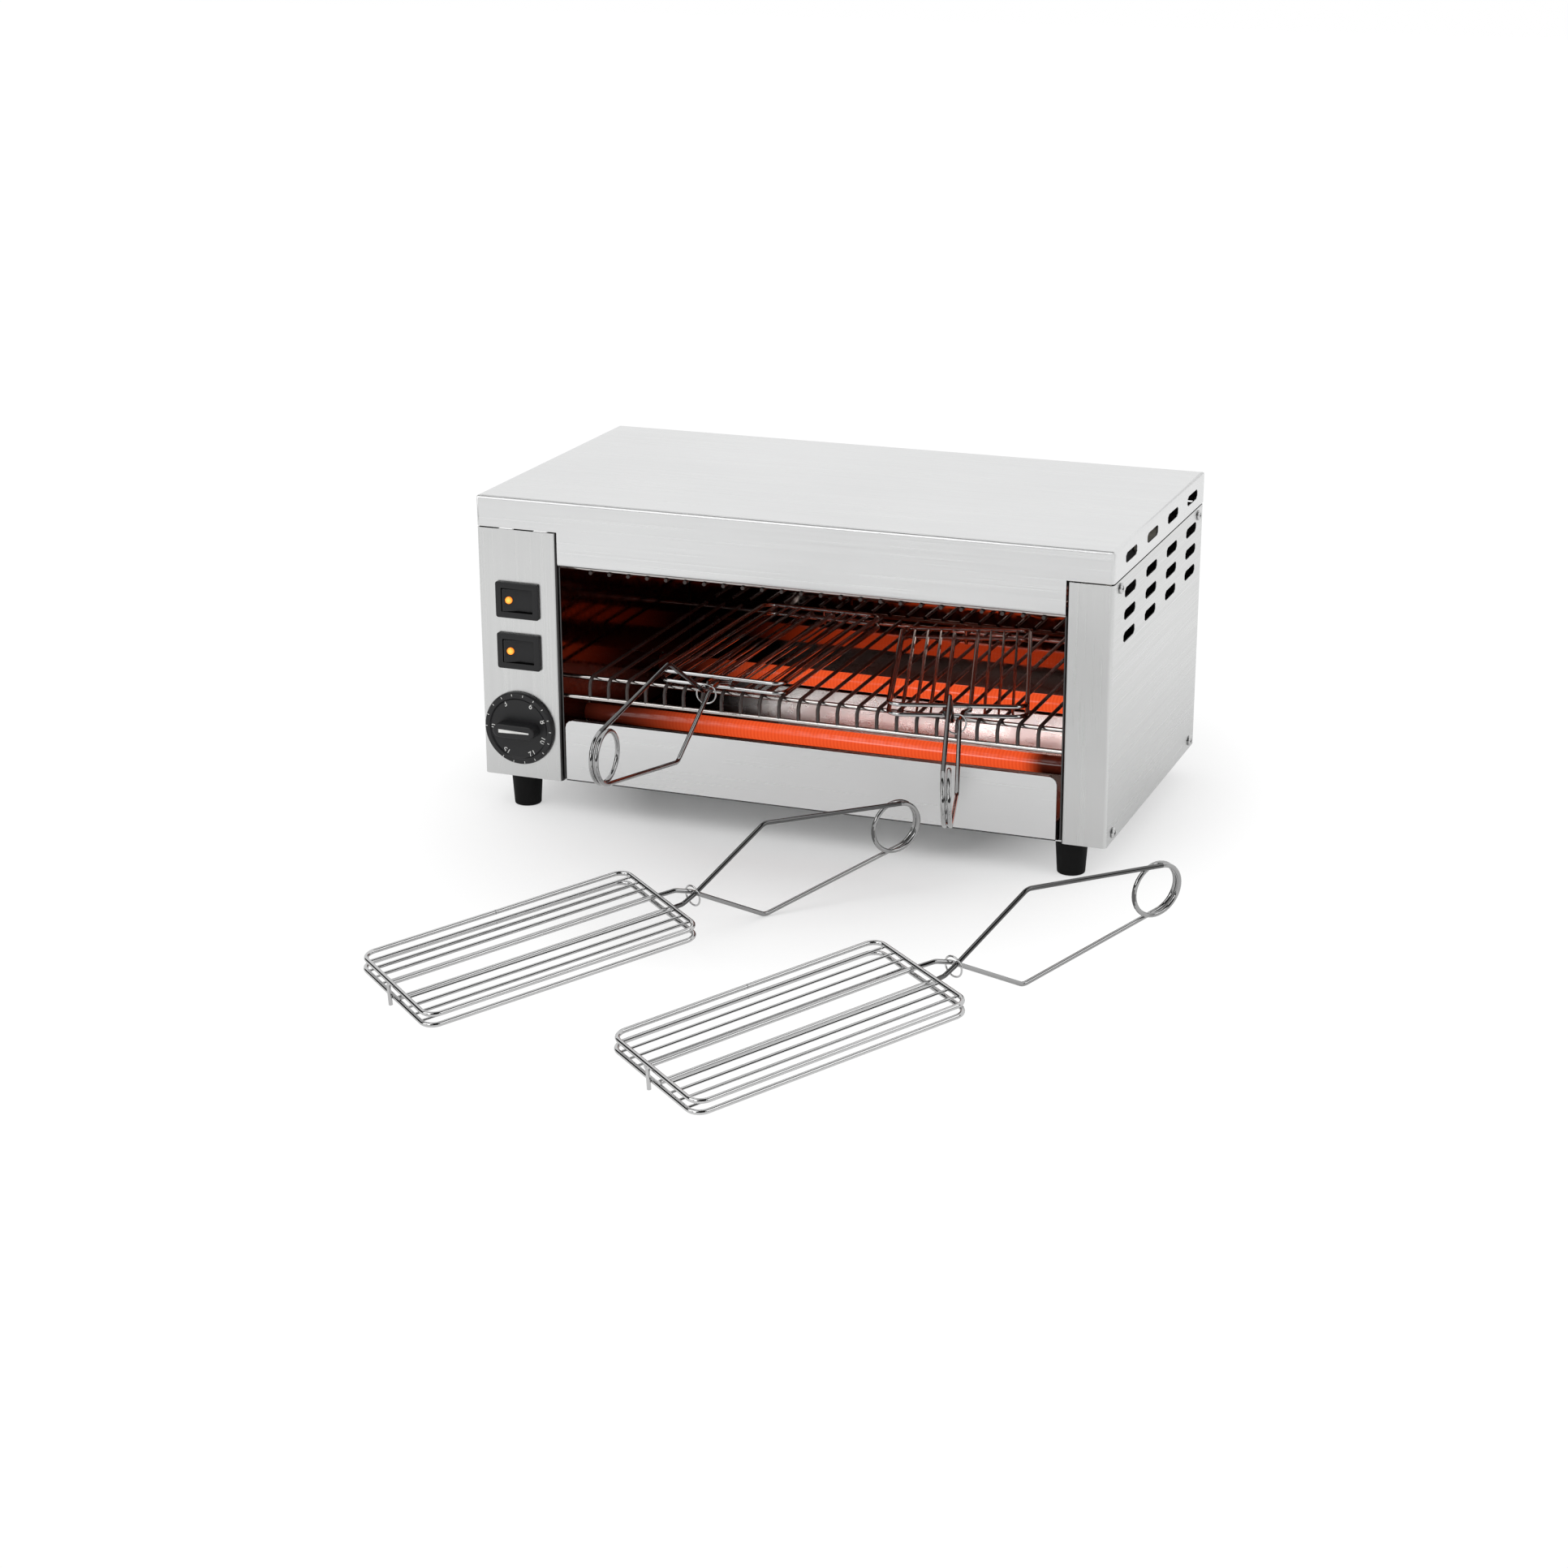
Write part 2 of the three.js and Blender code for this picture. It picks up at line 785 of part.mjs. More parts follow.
// How far the rocker's face stands before its pivot, at a distance from the middle
const flankAngle = Math.asin(rockerFlank / rockerReach);
const flankEdge = rockerReach * Math.cos(flankAngle);
const rockerFace = (x) => rockerValley + (rockerFlank - rockerValley) * Math.abs(x) / flankEdge;

function switchRocker() {
  const height = pocketHeight / 2 - rockerGap;
  const turn = flankAngle / degree;
  const section = new THREE.Shape([
    ...arc(0, 0, rockerReach, -turn, turn, rockerFlankSteps),
    new THREE.Vector2(0, rockerKeel),
    ...arc(0, 0, rockerReach, 180 - turn, 180 + turn, rockerFlankSteps),
    new THREE.Vector2(0, -rockerValley),
  ]);
  const rocker = prism(section, 2 * height);
  rocker.translate(0, 0, -height);
  const floor = lampPocket - rockerFace(lampOffset);
  const recess = alongY(polygon(lampRadius + seat, lampSides), -rockerFlank - overrun, floor);
  recess.translate(-lampOffset, 0, 0);
  return solidOf(rocker).subtract(solidOf(recess));
}

function switchLamp() {
  const floor = rockerFace(lampOffset) - lampPocket + seat;
  const crown = rockerFace(lampOffset) + lampProud;
  return turned([
    [0, floor],
    [lampRadius, floor],
    [lampRadius, crown - lampProud / 2],
    [lampRadius / 2, crown],
    [0, crown],
  ], lampSides);
}

// Timer and knob
function timerBody() {
  return alongY(roundedRect(timerWidth, timerWidth, timerCorner), floorTop, floorTop + timerDepth);
}

function timerKnob() {
  const dial = turned([
    [0, 0],
    [knobRadius, 0],
    [knobRadius, knobEdge],
    [knobRadius - knobSlope, knobRim],
    [knobRadius - knobRimWidth, knobRim],
    [knobRadius - knobRimWidth - knobSlope, knobDish],
    [0, knobDish],
  ], knobSides);
  const grip = new THREE.ExtrudeGeometry(slotShape(gripLength, gripWidth), {
    depth: gripDepth - gripBevel,
    bevelSize: gripBevel,
    bevelOffset: -gripBevel,
    bevelThickness: gripBevel,
    bevelSegments: 2,
  });
  const under = block([-gripLength, -gripLength, -gripDepth], [gripLength, gripLength, knobDish / 2]);
  const shaft = prism(polygon(shaftRadius, shaftSides), knobGap + sheet + knobDish / 2);
  shaft.translate(0, 0, -knobGap - sheet);
  return join([solidOf(dial), solidOf(grip).subtract(under), solidOf(shaft)]);
}

// Cable gland: a bored stem through the back panel, with a nut on each side and a dome outside
function cableGland() {
  const inside = -sheet - seat - glandNutDepth;
  const outside = seat + glandNutDepth;
  const tip = outside + glandDomeDepth;
  const stem = turned([
    [glandBore, inside - glandThread],
    [glandRadius, inside - glandThread],
    [glandRadius, outside + glandDomeDepth / 2],
    [glandDome, tip],
    [glandBore, tip],
    [glandBore, inside - glandThread],
  ], glandSides);
  const nuts = [inside, seat].map((z) => {
    const nut = prism(polygon(glandNut, 6), glandNutDepth);
    nut.translate(0, 0, z);
    const bore = prism(polygon(glandRadius - weld, glandSides), glandNutDepth + 2 * overrun);
    bore.translate(0, 0, z - overrun);
    return solidOf(nut).subtract(solidOf(bore));
  });
  return join([solidOf(stem), ...nuts]);
}

function terminalBlock() {
  const low = [-terminalWidth / 2, -terminalDepth / 2, floorTop];
  const body = block(low, [terminalWidth / 2, terminalDepth / 2, floorTop + terminalHeight]);
  const pitch = terminalWidth / terminalWays;
  const holes = Array.from({ length: terminalWays }, (_, i) => {
    const hole = prism(polygon(terminalHole, 8), terminalHeight);
    hole.translate((i - (terminalWays - 1) / 2) * pitch, 0, terminalHeight / 2);
    return solidOf(hole);
  });
  return cut(body, holes);
}

function sideScrew() {
  return turned([
    [0, -screwLength],
    [screwShank, -screwLength],
    [screwShank, seat],
    [screwHeadRadius, seat],
    [screwHeadRadius, seat + screwHead - screwDome],
    [screwHeadRadius - screwDome, seat + screwHead],
    [0, seat + screwHead],
  ], screwSides);
}

// Wire tongs. In their own frame x runs from the cage's far edge to the coil, y to the left, z up.
// Side 1 is the upper half and side -1 the lower one, which carries the coil and the guide peg.
const coilX = cageLength + coilRun;
const handleSlant = Math.atan2(bendHeight, coilRun - bendRun)
  - Math.asin(coilRadius / Math.hypot(coilRun - bendRun, bendHeight));
const coilSweep = 3 * Math.PI - 2 * handleSlant;
const coilOffset = coilPitch * coilSweep / (4 * Math.PI);
const farEdge = (side) => (side > 0 ? frameSetback : 0);
const pegX = pegWeld - tongWire / 2 - pegRadius;

// Half of a cage's frame, from one end of the cage to a meeting plane across its sides
function framePoints(side, end, meet) {
  const y = cageWidth / 2;
  const z = side * cageGap / 2;
  return bent([
    [at(meet, y, z)],
    [at(end, y, z), cageCorner],
    [at(end, -y, z), cageCorner],
    [at(meet, -y, z)],
  ], cornerSteps);
}

function cageFrame(side) {
  const middle = cageLength / 2;
  return [
    wire(framePoints(side, farEdge(side), middle + frameOverlap), tongWire, tongSides),
    wire(framePoints(side, cageLength, middle - frameOverlap), tongWire, tongSides),
  ];
}

function cageBars(side) {
  const pitch = (cageWidth / 2 - handleOffset) / (barsEachSide + 1);
  const z = side * (cageGap / 2 - (tongWire + barWire) / 2 + barWeld);
  const bars = [];
  for (const way of [-1, 1]) {
    for (let i = 1; i <= barsEachSide; i += 1) {
      const y = way * (handleOffset + i * pitch);
      const ends = [at(farEdge(side) - barWeld, y, z), at(cageLength + barWeld, y, z)];
      bars.push(wire(ends, barWire, barSides));
    }
  }
  return bars;
}

// The handle wire, from the cage over the hump and the crossing to where it meets the coil
function handlePoints(side) {
  const z = side * (cageGap / 2 - tongWire + barWeld);
  return bent([
    [at(farEdge(side) - barWeld, side * handleOffset, z)],
    [at(cageLength + handleRun, side * handleOffset, z), neckBend],
    [at(cageLength + humpRun, side * humpOffset, z + side * humpRise), neckBend],
    [at(cageLength + neckRun, side * neckOffset, 0), neckBend],
    [at(cageLength + bendRun, side * coilOffset, -side * bendHeight), wireBend],
    [at(
      coilX + coilRadius * Math.sin(handleSlant),
      side * coilOffset,
      -side * coilRadius * Math.cos(handleSlant),
    )],
  ], wireBendSteps);
}

// The coil climbs from the upper half's wire at its foot to the lower half's wire at its top
function coilPoints() {
  const steps = Math.round(coilLoopSteps * coilSweep / (2 * Math.PI));
  const start = handleSlant - Math.PI / 2;
  const points = [];
  for (let i = 0; i <= steps; i += 1) {
    const angle = start + coilSweep * i / steps;
    const x = coilX + coilRadius * Math.cos(angle);
    points.push(at(x, coilOffset - 2 * coilOffset * i / steps, coilRadius * Math.sin(angle)));
  }
  return points;
}

// The least gap of the coil to itself, between its centre points at least half a turn apart
function coilGap(points) {
  let least = Infinity;
  for (let i = 0; i < points.length; i += 1) {
    for (let k = i + coilLoopSteps / 2; k < points.length; k += 1) {
      least = Math.min(least, points[i].distanceTo(points[k]) - tongWire);
    }
  }
  return least;
}

function upperHalf() {
  const handle = handlePoints(1);
  const [before, last] = handle.slice(-2);
  last.addScaledVector(before.clone().sub(last).normalize(), coilSplit);
  return join([...cageFrame(1), ...cageBars(1), wire(handle, tongWire, tongSides)]);
}

function lowerHalf() {
  const handle = [...handlePoints(-1).slice(0, -1), ...coilPoints().reverse()];
  const peg = wire([at(pegX, 0, -pegFoot), at(pegX, 0, pegTip)], 2 * pegRadius, tongSides);
  return join([...cageFrame(-1), ...cageBars(-1), wire(handle, tongWire, tongSides), peg]);
}

function neckRing() {
  const ring = new THREE.TorusGeometry(ringRadius, ringWire / 2, ringSides, ringSteps);
  ring.rotateY(Math.PI / 2);
  return ring;
}

const upperSolid = upperHalf();
const lowerSolid = lowerHalf();
console.log(`least gap of the spring coil to itself: ${coilGap(coilPoints()).toFixed(2)} mm`);

function addTong(name, place) {
  group.add(place);
  add(`${name}_lower_half`, lowerSolid, wireSteel, place);
  add(`${name}_upper_half`, upperSolid, wireSteel, place);
  const ring = add(`${name}_neck_ring`, neckRing(), wireSteel, place);
  ring.position.set(cageLength + neckRun, 0, -ringDrop);
  ring.rotation.z = ringSwivel * degree;
}

// Tongs on the rack: the lower frame lies flat on the rack's wires
function rackPlace({ xShare, yShare, yaw }) {
  const place = new THREE.Group();
  const reach = cageLength + neckRun;
  place.position.set(
    bodyWidth * xShare - reach * Math.cos(yaw * degree),
    bodyDepth * yShare - reach * Math.sin(yaw * degree),
    rackTop + seat + tongWire / 2 + cageGap / 2,
  );
  place.rotation.z = yaw * degree;
  return place;
}

// Tongs on the table: they rest on the guide peg, the handle's lower bend and one corner of the cage
function tablePlace({ xShare, yShare, yaw }) {
  const place = new THREE.Group();
  const radius = tongWire / 2;
  const foot = [-1, 1].flatMap((way) => [
    at(pegX + way * pegRadius, 0, -pegFoot),
    at(pegX, way * pegRadius, -pegFoot),
  ]);
  const handle = handlePoints(1);
  const corner = framePoints(-1, cageLength, 0);
  let pitch = 0;
  let roll = 0;
  let height = 0;
  for (let i = 0; i < 40; i += 1) {
    const turn = new THREE.Euler(roll, -pitch, 0, 'ZYX');
    const lowest = (points) => Math.min(...points.map((point) => point.clone().applyEuler(turn).z));
    height = tableHeight - lowest(foot);
    pitch -= (height + lowest(handle) - radius - tableHeight) / (cageLength + bendRun);
    roll += (height + lowest(corner) - radius - tableHeight) / cageWidth;
  }
  place.position.set(bodyWidth * xShare, bodyDepth * yShare, height);
  place.rotation.set(roll, -pitch, yaw * degree, 'ZYX');
  return place;
}

// Assembly
add('top_cover', topCover(), steel);
add('left_panel', leftPanel(), steel);
add('right_panel', rightPanel(), steel);
add('back_panel', backPanel(), steel);
add('base_pan', basePan(), steel);
add('cavity_left_wall', cavityWall(leftWall), polished);
add('cavity_right_wall', cavityWall(rightWall - sheet), polished);
add('cavity_back_wall', cavityBackWall(), polished);
add('ceiling_reflector', ceilingReflector(), polished);
add('crumb_tray', crumbTray(), steel);
add('lower_guard_rack', guardRack(), wireSteel);
add('upper_guard_grid', guardGrid(), wireSteel);

for (const [row, y] of [['front', footInsetY], ['rear', bodyDepth - footInsetY]]) {
  for (const [side, x] of [['left', footInsetX], ['right', bodyWidth - footInsetX]]) {
    add(`foot_${row}_${side}`, foot(), rubber).position.set(x, y, 0);
  }
}

for (const { name, y, z } of tubePlaces) {
  add(`quartz_tube_${name}`, quartzTube(), quartz).position.set(0, y, z);
  const left = add(`ceramic_end_${name}_left`, ceramicEnd(), ceramic);
  left.position.set(leftWall - seat, y, z);
  left.rotation.y = -Math.PI / 2;
  const right = add(`ceramic_end_${name}_right`, ceramicEnd(), ceramic);
  right.position.set(rightWall + seat, y, z);
  right.rotation.y = Math.PI / 2;
}

switchCentres.forEach((z, i) => {
  add(`switch_housing_${i + 1}`, switchHousing(), black).position.set(switchX, 0, z);
  const pivot = new THREE.Group();
  pivot.position.set(switchX, rockerPivotY, z);
  pivot.rotation.z = rockerTilt * degree;
  group.add(pivot);
  add(`switch_rocker_${i + 1}`, switchRocker(), black, pivot);
  const lamp = add(`switch_lamp_${i + 1}`, switchLamp(), amber, pivot);
  lamp.position.x = -lampOffset;
  lamp.rotation.x = Math.PI / 2;
});

add('timer_body', timerBody(), black).position.set(knobX, 0, knobHeight);
const knob = add('timer_knob', timerKnob(), black);
knob.position.set(knobX, -knobGap, knobHeight);
knob.rotation.x = Math.PI / 2;

const gland = add('cable_gland', cableGland(), black);
gland.position.set(glandX, bodyDepth, glandHeight);
gland.rotation.x = -Math.PI / 2;
add('terminal_block', terminalBlock(), nylon).position.set(terminalX, bodyDepth - terminalInset, 0);

screwPlaces.forEach(([y, z], i) => {
  const left = add(`side_screw_left_${i + 1}`, sideScrew(), steel);
  left.position.set(0, y, z);
  left.rotation.y = -Math.PI / 2;
  const right = add(`side_screw_right_${i + 1}`, sideScrew(), steel);
  right.position.set(bodyWidth, y, z);
  right.rotation.y = Math.PI / 2;
});

for (const tong of rackTongs) addTong(tong.name, rackPlace(tong));
for (const tong of tableTongs) addTong(tong.name, tablePlace(tong));
group.position.set(-footInsetX, -footInsetY, footHeight);

export default group;
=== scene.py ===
import json
import math

import bmesh
import bpy
from mathutils import Euler, Matrix, Vector


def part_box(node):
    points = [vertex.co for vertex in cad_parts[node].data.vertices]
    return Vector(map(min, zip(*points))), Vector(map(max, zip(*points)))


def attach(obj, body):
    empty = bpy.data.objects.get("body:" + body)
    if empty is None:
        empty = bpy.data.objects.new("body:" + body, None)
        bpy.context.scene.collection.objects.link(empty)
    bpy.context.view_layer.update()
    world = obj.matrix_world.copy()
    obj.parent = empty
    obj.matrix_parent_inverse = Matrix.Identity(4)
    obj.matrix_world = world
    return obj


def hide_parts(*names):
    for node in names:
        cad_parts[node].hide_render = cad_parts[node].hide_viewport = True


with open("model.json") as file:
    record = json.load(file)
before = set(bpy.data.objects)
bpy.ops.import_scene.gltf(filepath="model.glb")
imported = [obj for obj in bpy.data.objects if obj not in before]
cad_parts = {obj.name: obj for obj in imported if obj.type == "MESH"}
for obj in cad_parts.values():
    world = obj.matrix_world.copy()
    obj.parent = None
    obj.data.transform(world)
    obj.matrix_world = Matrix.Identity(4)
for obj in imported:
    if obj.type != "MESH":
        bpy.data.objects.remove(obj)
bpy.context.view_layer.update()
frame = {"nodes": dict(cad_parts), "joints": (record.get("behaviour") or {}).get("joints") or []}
nodes = frame["nodes"]
joints = {joint["name"]: joint for joint in frame["joints"]}
scene = bpy.context.scene
mm = 0.001
housing = {"corner": (-25, -12, 22), "width": 428, "depth": 228, "height": 190}  # from its front left corner
bodyCorner = Vector(housing["corner"]) * mm


def metres(x, y, z):
    return Vector((x, y, z)) * mm


def place(x, y, z):
    # from millimetres off the body's corner
    return bodyCorner + metres(x, y, z)


def addNode(tree, kind, values=()):
    node = tree.nodes.new(kind)
    for label, value in values:
        node.inputs[label].default_value = value
    return node


# the patterns read Object coordinates, in metres, apart from the lamp's, which follows its dome
def shader(name, color, roughness, metallic=0.0):
    material = bpy.data.materials.new(name)
    material.use_nodes = True
    bsdf = material.node_tree.nodes["Principled BSDF"]
    bsdf.inputs["Base Color"].default_value = (*color, 1)
    bsdf.inputs["Roughness"].default_value = roughness
    bsdf.inputs["Metallic"].default_value = metallic
    return material, material.node_tree, bsdf


def objectNoise(tree, scale, detail=4.0, stretch=(1, 1, 1), rough=0.55):
    coord = addNode(tree, "ShaderNodeTexCoord")
    mapping = addNode(tree, "ShaderNodeMapping", [("Scale", stretch)])
    noise = addNode(tree, "ShaderNodeTexNoise", [("Scale", scale), ("Detail", detail), ("Roughness", rough)])
    tree.links.new(coord.outputs["Object"], mapping.inputs["Vector"])
    tree.links.new(mapping.outputs["Vector"], noise.inputs["Vector"])
    return noise.outputs["Fac"]


def distanceFrom(tree, middle, reach):
    # 0 at the middle and 1 at the reach along each axis
    coord = addNode(tree, "ShaderNodeTexCoord")
    mapping = addNode(tree, "ShaderNodeMapping", [("Location", middle), ("Scale", reach)])
    mapping.vector_type = "TEXTURE"
    length = addNode(tree, "ShaderNodeVectorMath")
    length.operation = "LENGTH"
    tree.links.new(coord.outputs["Object"], mapping.inputs["Vector"])
    tree.links.new(mapping.outputs["Vector"], length.inputs[0])
    return length.outputs["Value"]


def spread(tree, value, low, high, fromLow=0.3, fromHigh=0.7):
    remap = addNode(tree, "ShaderNodeMapRange", [
        ("From Min", fromLow), ("From Max", fromHigh), ("To Min", low), ("To Max", high)])
    tree.links.new(value, remap.inputs["Value"])
    return remap.outputs["Result"]


def tint(tree, value, dark, light, fromLow=0.3, fromHigh=0.7):
    ramp = addNode(tree, "ShaderNodeValToRGB")
    for stop, position, color in zip(ramp.color_ramp.elements, (fromLow, fromHigh), (dark, light)):
        stop.position = position
        stop.color = (*color, 1)
    tree.links.new(value, ramp.inputs["Fac"])
    return ramp.outputs["Color"]


def combine(tree, operation, first, second):
    node = addNode(tree, "ShaderNodeMath")
    node.operation = operation
    tree.links.new(first, node.inputs[0])
    tree.links.new(second, node.inputs[1])
    return node.outputs[0]


def largest(tree, values):
    result = values[0]
    for value in values[1:]:
        result = combine(tree, "MAXIMUM", result, value)
    return result


def mixShaders(tree, share, first, second):
    mix = addNode(tree, "ShaderNodeMixShader")
    tree.links.new(share, mix.inputs["Fac"])
    tree.links.new(first, mix.inputs[1])
    tree.links.new(second, mix.inputs[2])
    return mix.outputs[0]


def relief(tree, bsdf, value, strength, distance):
    bump = addNode(tree, "ShaderNodeBump", [("Strength", strength), ("Distance", distance)])
    tree.links.new(value, bump.inputs["Height"])
    tree.links.new(bump.outputs["Normal"], bsdf.inputs["Normal"])


def shade(color, factor):
    return tuple(min(1.0, channel * factor) for channel in color)


def colorBy(tree, bsdf, value, color, dark, light):
    tree.links.new(tint(tree, value, shade(color, dark), shade(color, light)), bsdf.inputs["Base Color"])


def roughenBy(tree, bsdf, value, roughness, around):
    smoother, rougher = around
    tree.links.new(spread(tree, value, roughness + smoother, roughness + rougher), bsdf.inputs["Roughness"])


# noise scales, how far the roughness goes down and up, and the relief's depth in metres
surface = {
    "brushed": {"cloud": 7.0, "around": (-0.06, 0.08), "strength": 0.05, "depth": 0.00004},
    "bright": {"cloud": 9.0, "around": (-0.03, 0.06), "dark": 0.9, "light": 1.06, "fine": 220.0,
               "depth": 0.002},
    "moulded": {"cloud": 40.0, "around": (-0.06, 0.08), "dark": 0.8, "light": 1.25, "depth": 0.00008},
    "lightPool": {"cloud": 30.0, "around": (-0.05, 0.1), "strength": 0.04, "depth": 0.002},
}


def brushedSteel(name, color, roughness, grain, wear=0.02):
    kind = surface["brushed"]
    material, tree, bsdf = shader(name, color, roughness, metallic=1.0)
    lines = objectNoise(tree, 1.0, detail=3.0, stretch=grain, rough=0.6)
    cloud = objectNoise(tree, kind["cloud"], detail=3.0)
    colorBy(tree, bsdf, cloud, color, 1 - wear, 1 + wear)
    roughenBy(tree, bsdf, lines, roughness, kind["around"])
    relief(tree, bsdf, lines, kind["strength"], kind["depth"])
    return material


def brightSteel(name, color, roughness, wave, soot=0.0):
    kind = surface["bright"]
    material, tree, bsdf = shader(name, color, roughness, metallic=1.0)
    cloud = objectNoise(tree, kind["cloud"])
    fine = objectNoise(tree, kind["fine"], detail=2.0)
    colorBy(tree, bsdf, cloud, color, kind["dark"] - soot, kind["light"])
    roughenBy(tree, bsdf, fine, roughness, kind["around"])
    relief(tree, bsdf, cloud, wave, kind["depth"])
    return material


def mouldedPlastic(name, color, roughness, grainScale=900.0, grainRelief=0.25, gloss=0.5):
    kind = surface["moulded"]
    material, tree, bsdf = shader(name, color, roughness)
    bsdf.inputs["Specular IOR Level"].default_value = gloss
    grain = objectNoise(tree, grainScale, detail=2.0)
    cloud = objectNoise(tree, kind["cloud"], detail=3.0)
    colorBy(tree, bsdf, cloud, color, kind["dark"], kind["light"])
    roughenBy(tree, bsdf, cloud, roughness, kind["around"])
    relief(tree, bsdf, grain, grainRelief, kind["depth"])
    return material


def heatedSteel(name, litColor, shadedColor, roughness, zone, metallic=1.0):
    # painted light where the metal lies open to the front, and painted shade further in
    kind = surface["lightPool"]
    material, tree, bsdf = shader(name, litColor, roughness, metallic)
    away = distanceFrom(tree, zone["middle"], zone["reach"])
    shadedShare = spread(tree, away, 0.0, 1.0, zone["from"], zone["to"])
    tree.links.new(tint(tree, shadedShare, litColor, shadedColor), bsdf.inputs["Base Color"])
    cloud = objectNoise(tree, kind["cloud"])
    roughenBy(tree, bsdf, cloud, roughness, kind["around"])
    relief(tree, bsdf, cloud, kind["strength"], kind["depth"])
    return material


# where the tray floor and the guard wires are painted light, and how far off their painted shade begins
trayLightPool = {"middle": (0.31, 0.185, 0.03), "reach": (0.23, 0.05, 1), "from": 0.75, "to": 1.35}
guardLightPool = {"middle": (0.42, 0.13, 0.08), "reach": (0.26, 0.13, 1), "from": 0.3, "to": 0.95}
brushing = {"across": (6, 900, 900), "deep": (900, 6, 900), "upright": (900, 900, 6)}  # lines along x, y, z
finishes = {
    # the cover's steel is painted lighter than the side and upright steel: painted light on the cover
    "cover": brushedSteel("satinSteelAcross", (0.75, 0.754, 0.754), 0.32, brushing["across"]),
    "side": brushedSteel("satinSteelDeep", (0.66, 0.664, 0.66), 0.30, brushing["deep"]),
    "upright": brushedSteel("satinSteelUpright", (0.66, 0.664, 0.66), 0.31, brushing["upright"]),
    # dark steel for faces that lie in shade: painted shade
    "inside": brushedSteel("paintedShadeSteel", (0.10, 0.10, 0.10), 0.45, brushing["across"]),
    "cavity": brightSteel("polishedCavitySteel", (0.36, 0.29, 0.26), 0.04, wave=0.012, soot=0.08),
    # the cavity steel painted dark for the left wall: painted shade
    "shadedWall": brightSteel("shadePaintedSteel", (0.12, 0.075, 0.065), 0.08, wave=0.015, soot=0.1),
    # the tray floor is painted light around its zone and painted shade further away
    "trayFloor": heatedSteel("trayPaintedLightSteel", (0.97, 0.96, 0.95), (0.045, 0.036, 0.033), 0.24, trayLightPool),
    # cage, coil and lever are one chrome; the coil and lever are painted darker, a painted reflection of the
    # dark room
    "tongWire": brightSteel("chromedWire", (0.56, 0.56, 0.56), 0.09, wave=0.02),
    "tongCoil": brightSteel("chromedCoilPaintedDarker", (0.36, 0.36, 0.36), 0.07, wave=0.02),
    "tongLever": brightSteel("chromedLeverPaintedDark", (0.12, 0.12, 0.12), 0.07, wave=0.02),
    # the guard wires are painted light at the right and painted shade towards the left
    "guardWire": heatedSteel("guardWirePaintedLight", (0.46, 0.44, 0.43), (0.06, 0.048, 0.045), 0.22, guardLightPool,
                             metallic=0.4),
    "guardRail": brightSteel("brightGuardRail", (0.60, 0.57, 0.55), 0.14, wave=0.02, soot=0.05),
    "screw": brightSteel("screwSteel", (0.60, 0.60, 0.60), 0.28, wave=0.03),
    "black": mouldedPlastic("satinBlackPlastic", (0.010, 0.010, 0.011), 0.34, gloss=0.35),
    "knob": mouldedPlastic("knobPlastic", (0.013, 0.013, 0.014), 0.36, gloss=0.38),
    "rubber": mouldedPlastic("footRubber", (0.006, 0.006, 0.006), 0.62, grainScale=500.0, grainRelief=0.5,
                             gloss=0.12),
    "nylon": mouldedPlastic("naturalNylon", (0.62, 0.60, 0.53), 0.42),
    "ceramic": mouldedPlastic("creamCeramic", (0.78, 0.74, 0.64), 0.68, grainScale=700.0, grainRelief=0.6),
    "paint": mouldedPlastic("whiteMarkPaint", (0.80, 0.80, 0.78), 0.50),
}

# the heating coil glows from left to right, and comes up over warmUp and dies away over fade
quartzGlow = {
    "glass": (0.20, 0.03, 0.015), "roughness": 0.16, "coat": 0.25, "coatRoughness": 0.05,
    "left": 0.056, "warmUp": 0.105, "right": 0.352, "fade": 0.018,
    "windings": 130.0, "wobble": 0.6, "between": (0.43, 0.040, 0.009), "winding": (0.43, 0.050, 0.012),
    "low": 1.75, "high": 1.95,
}


def quartzGlass():
    material, tree, bsdf = shader("glowingQuartz", quartzGlow["glass"], quartzGlow["roughness"])
    coord = addNode(tree, "ShaderNodeTexCoord")
    split = addNode(tree, "ShaderNodeSeparateXYZ")
    tree.links.new(coord.outputs["Object"], split.inputs["Vector"])
    ends = []
    for edge, run in ((quartzGlow["left"], quartzGlow["warmUp"]), (quartzGlow["right"], -quartzGlow["fade"])):
        ramp = addNode(tree, "ShaderNodeMapRange", [("From Min", edge), ("From Max", edge + run)])
        ramp.interpolation_type = "SMOOTHSTEP"
        tree.links.new(split.outputs["X"], ramp.inputs["Value"])
        ends.append(ramp.outputs["Result"])
    coil = addNode(tree, "ShaderNodeTexWave", [
        ("Scale", quartzGlow["windings"]), ("Distortion", quartzGlow["wobble"]), ("Detail", 1.0)])
    coil.bands_direction = "X"
    tree.links.new(coord.outputs["Object"], coil.inputs["Vector"])
    glow = combine(tree, "MULTIPLY", ends[0], ends[1])
    strength = spread(tree, coil.outputs["Fac"], quartzGlow["low"], quartzGlow["high"], 0.0, 1.0)
    power = combine(tree, "MULTIPLY", glow, strength)
    color = tint(tree, coil.outputs["Fac"], quartzGlow["between"], quartzGlow["winding"])
    tree.links.new(color, bsdf.inputs["Emission Color"])
    tree.links.new(power, bsdf.inputs["Emission Strength"])
    bsdf.inputs["Coat Weight"].default_value = quartzGlow["coat"]
    bsdf.inputs["Coat Roughness"].default_value = quartzGlow["coatRoughness"]
    return material


lampGlow = {"lens": (0.85, 0.30, 0.03), "roughness": 0.22,
            "middle": (1.0, 0.55, 0.10), "rim": (0.80, 0.16, 0.01), "power": 1.1}


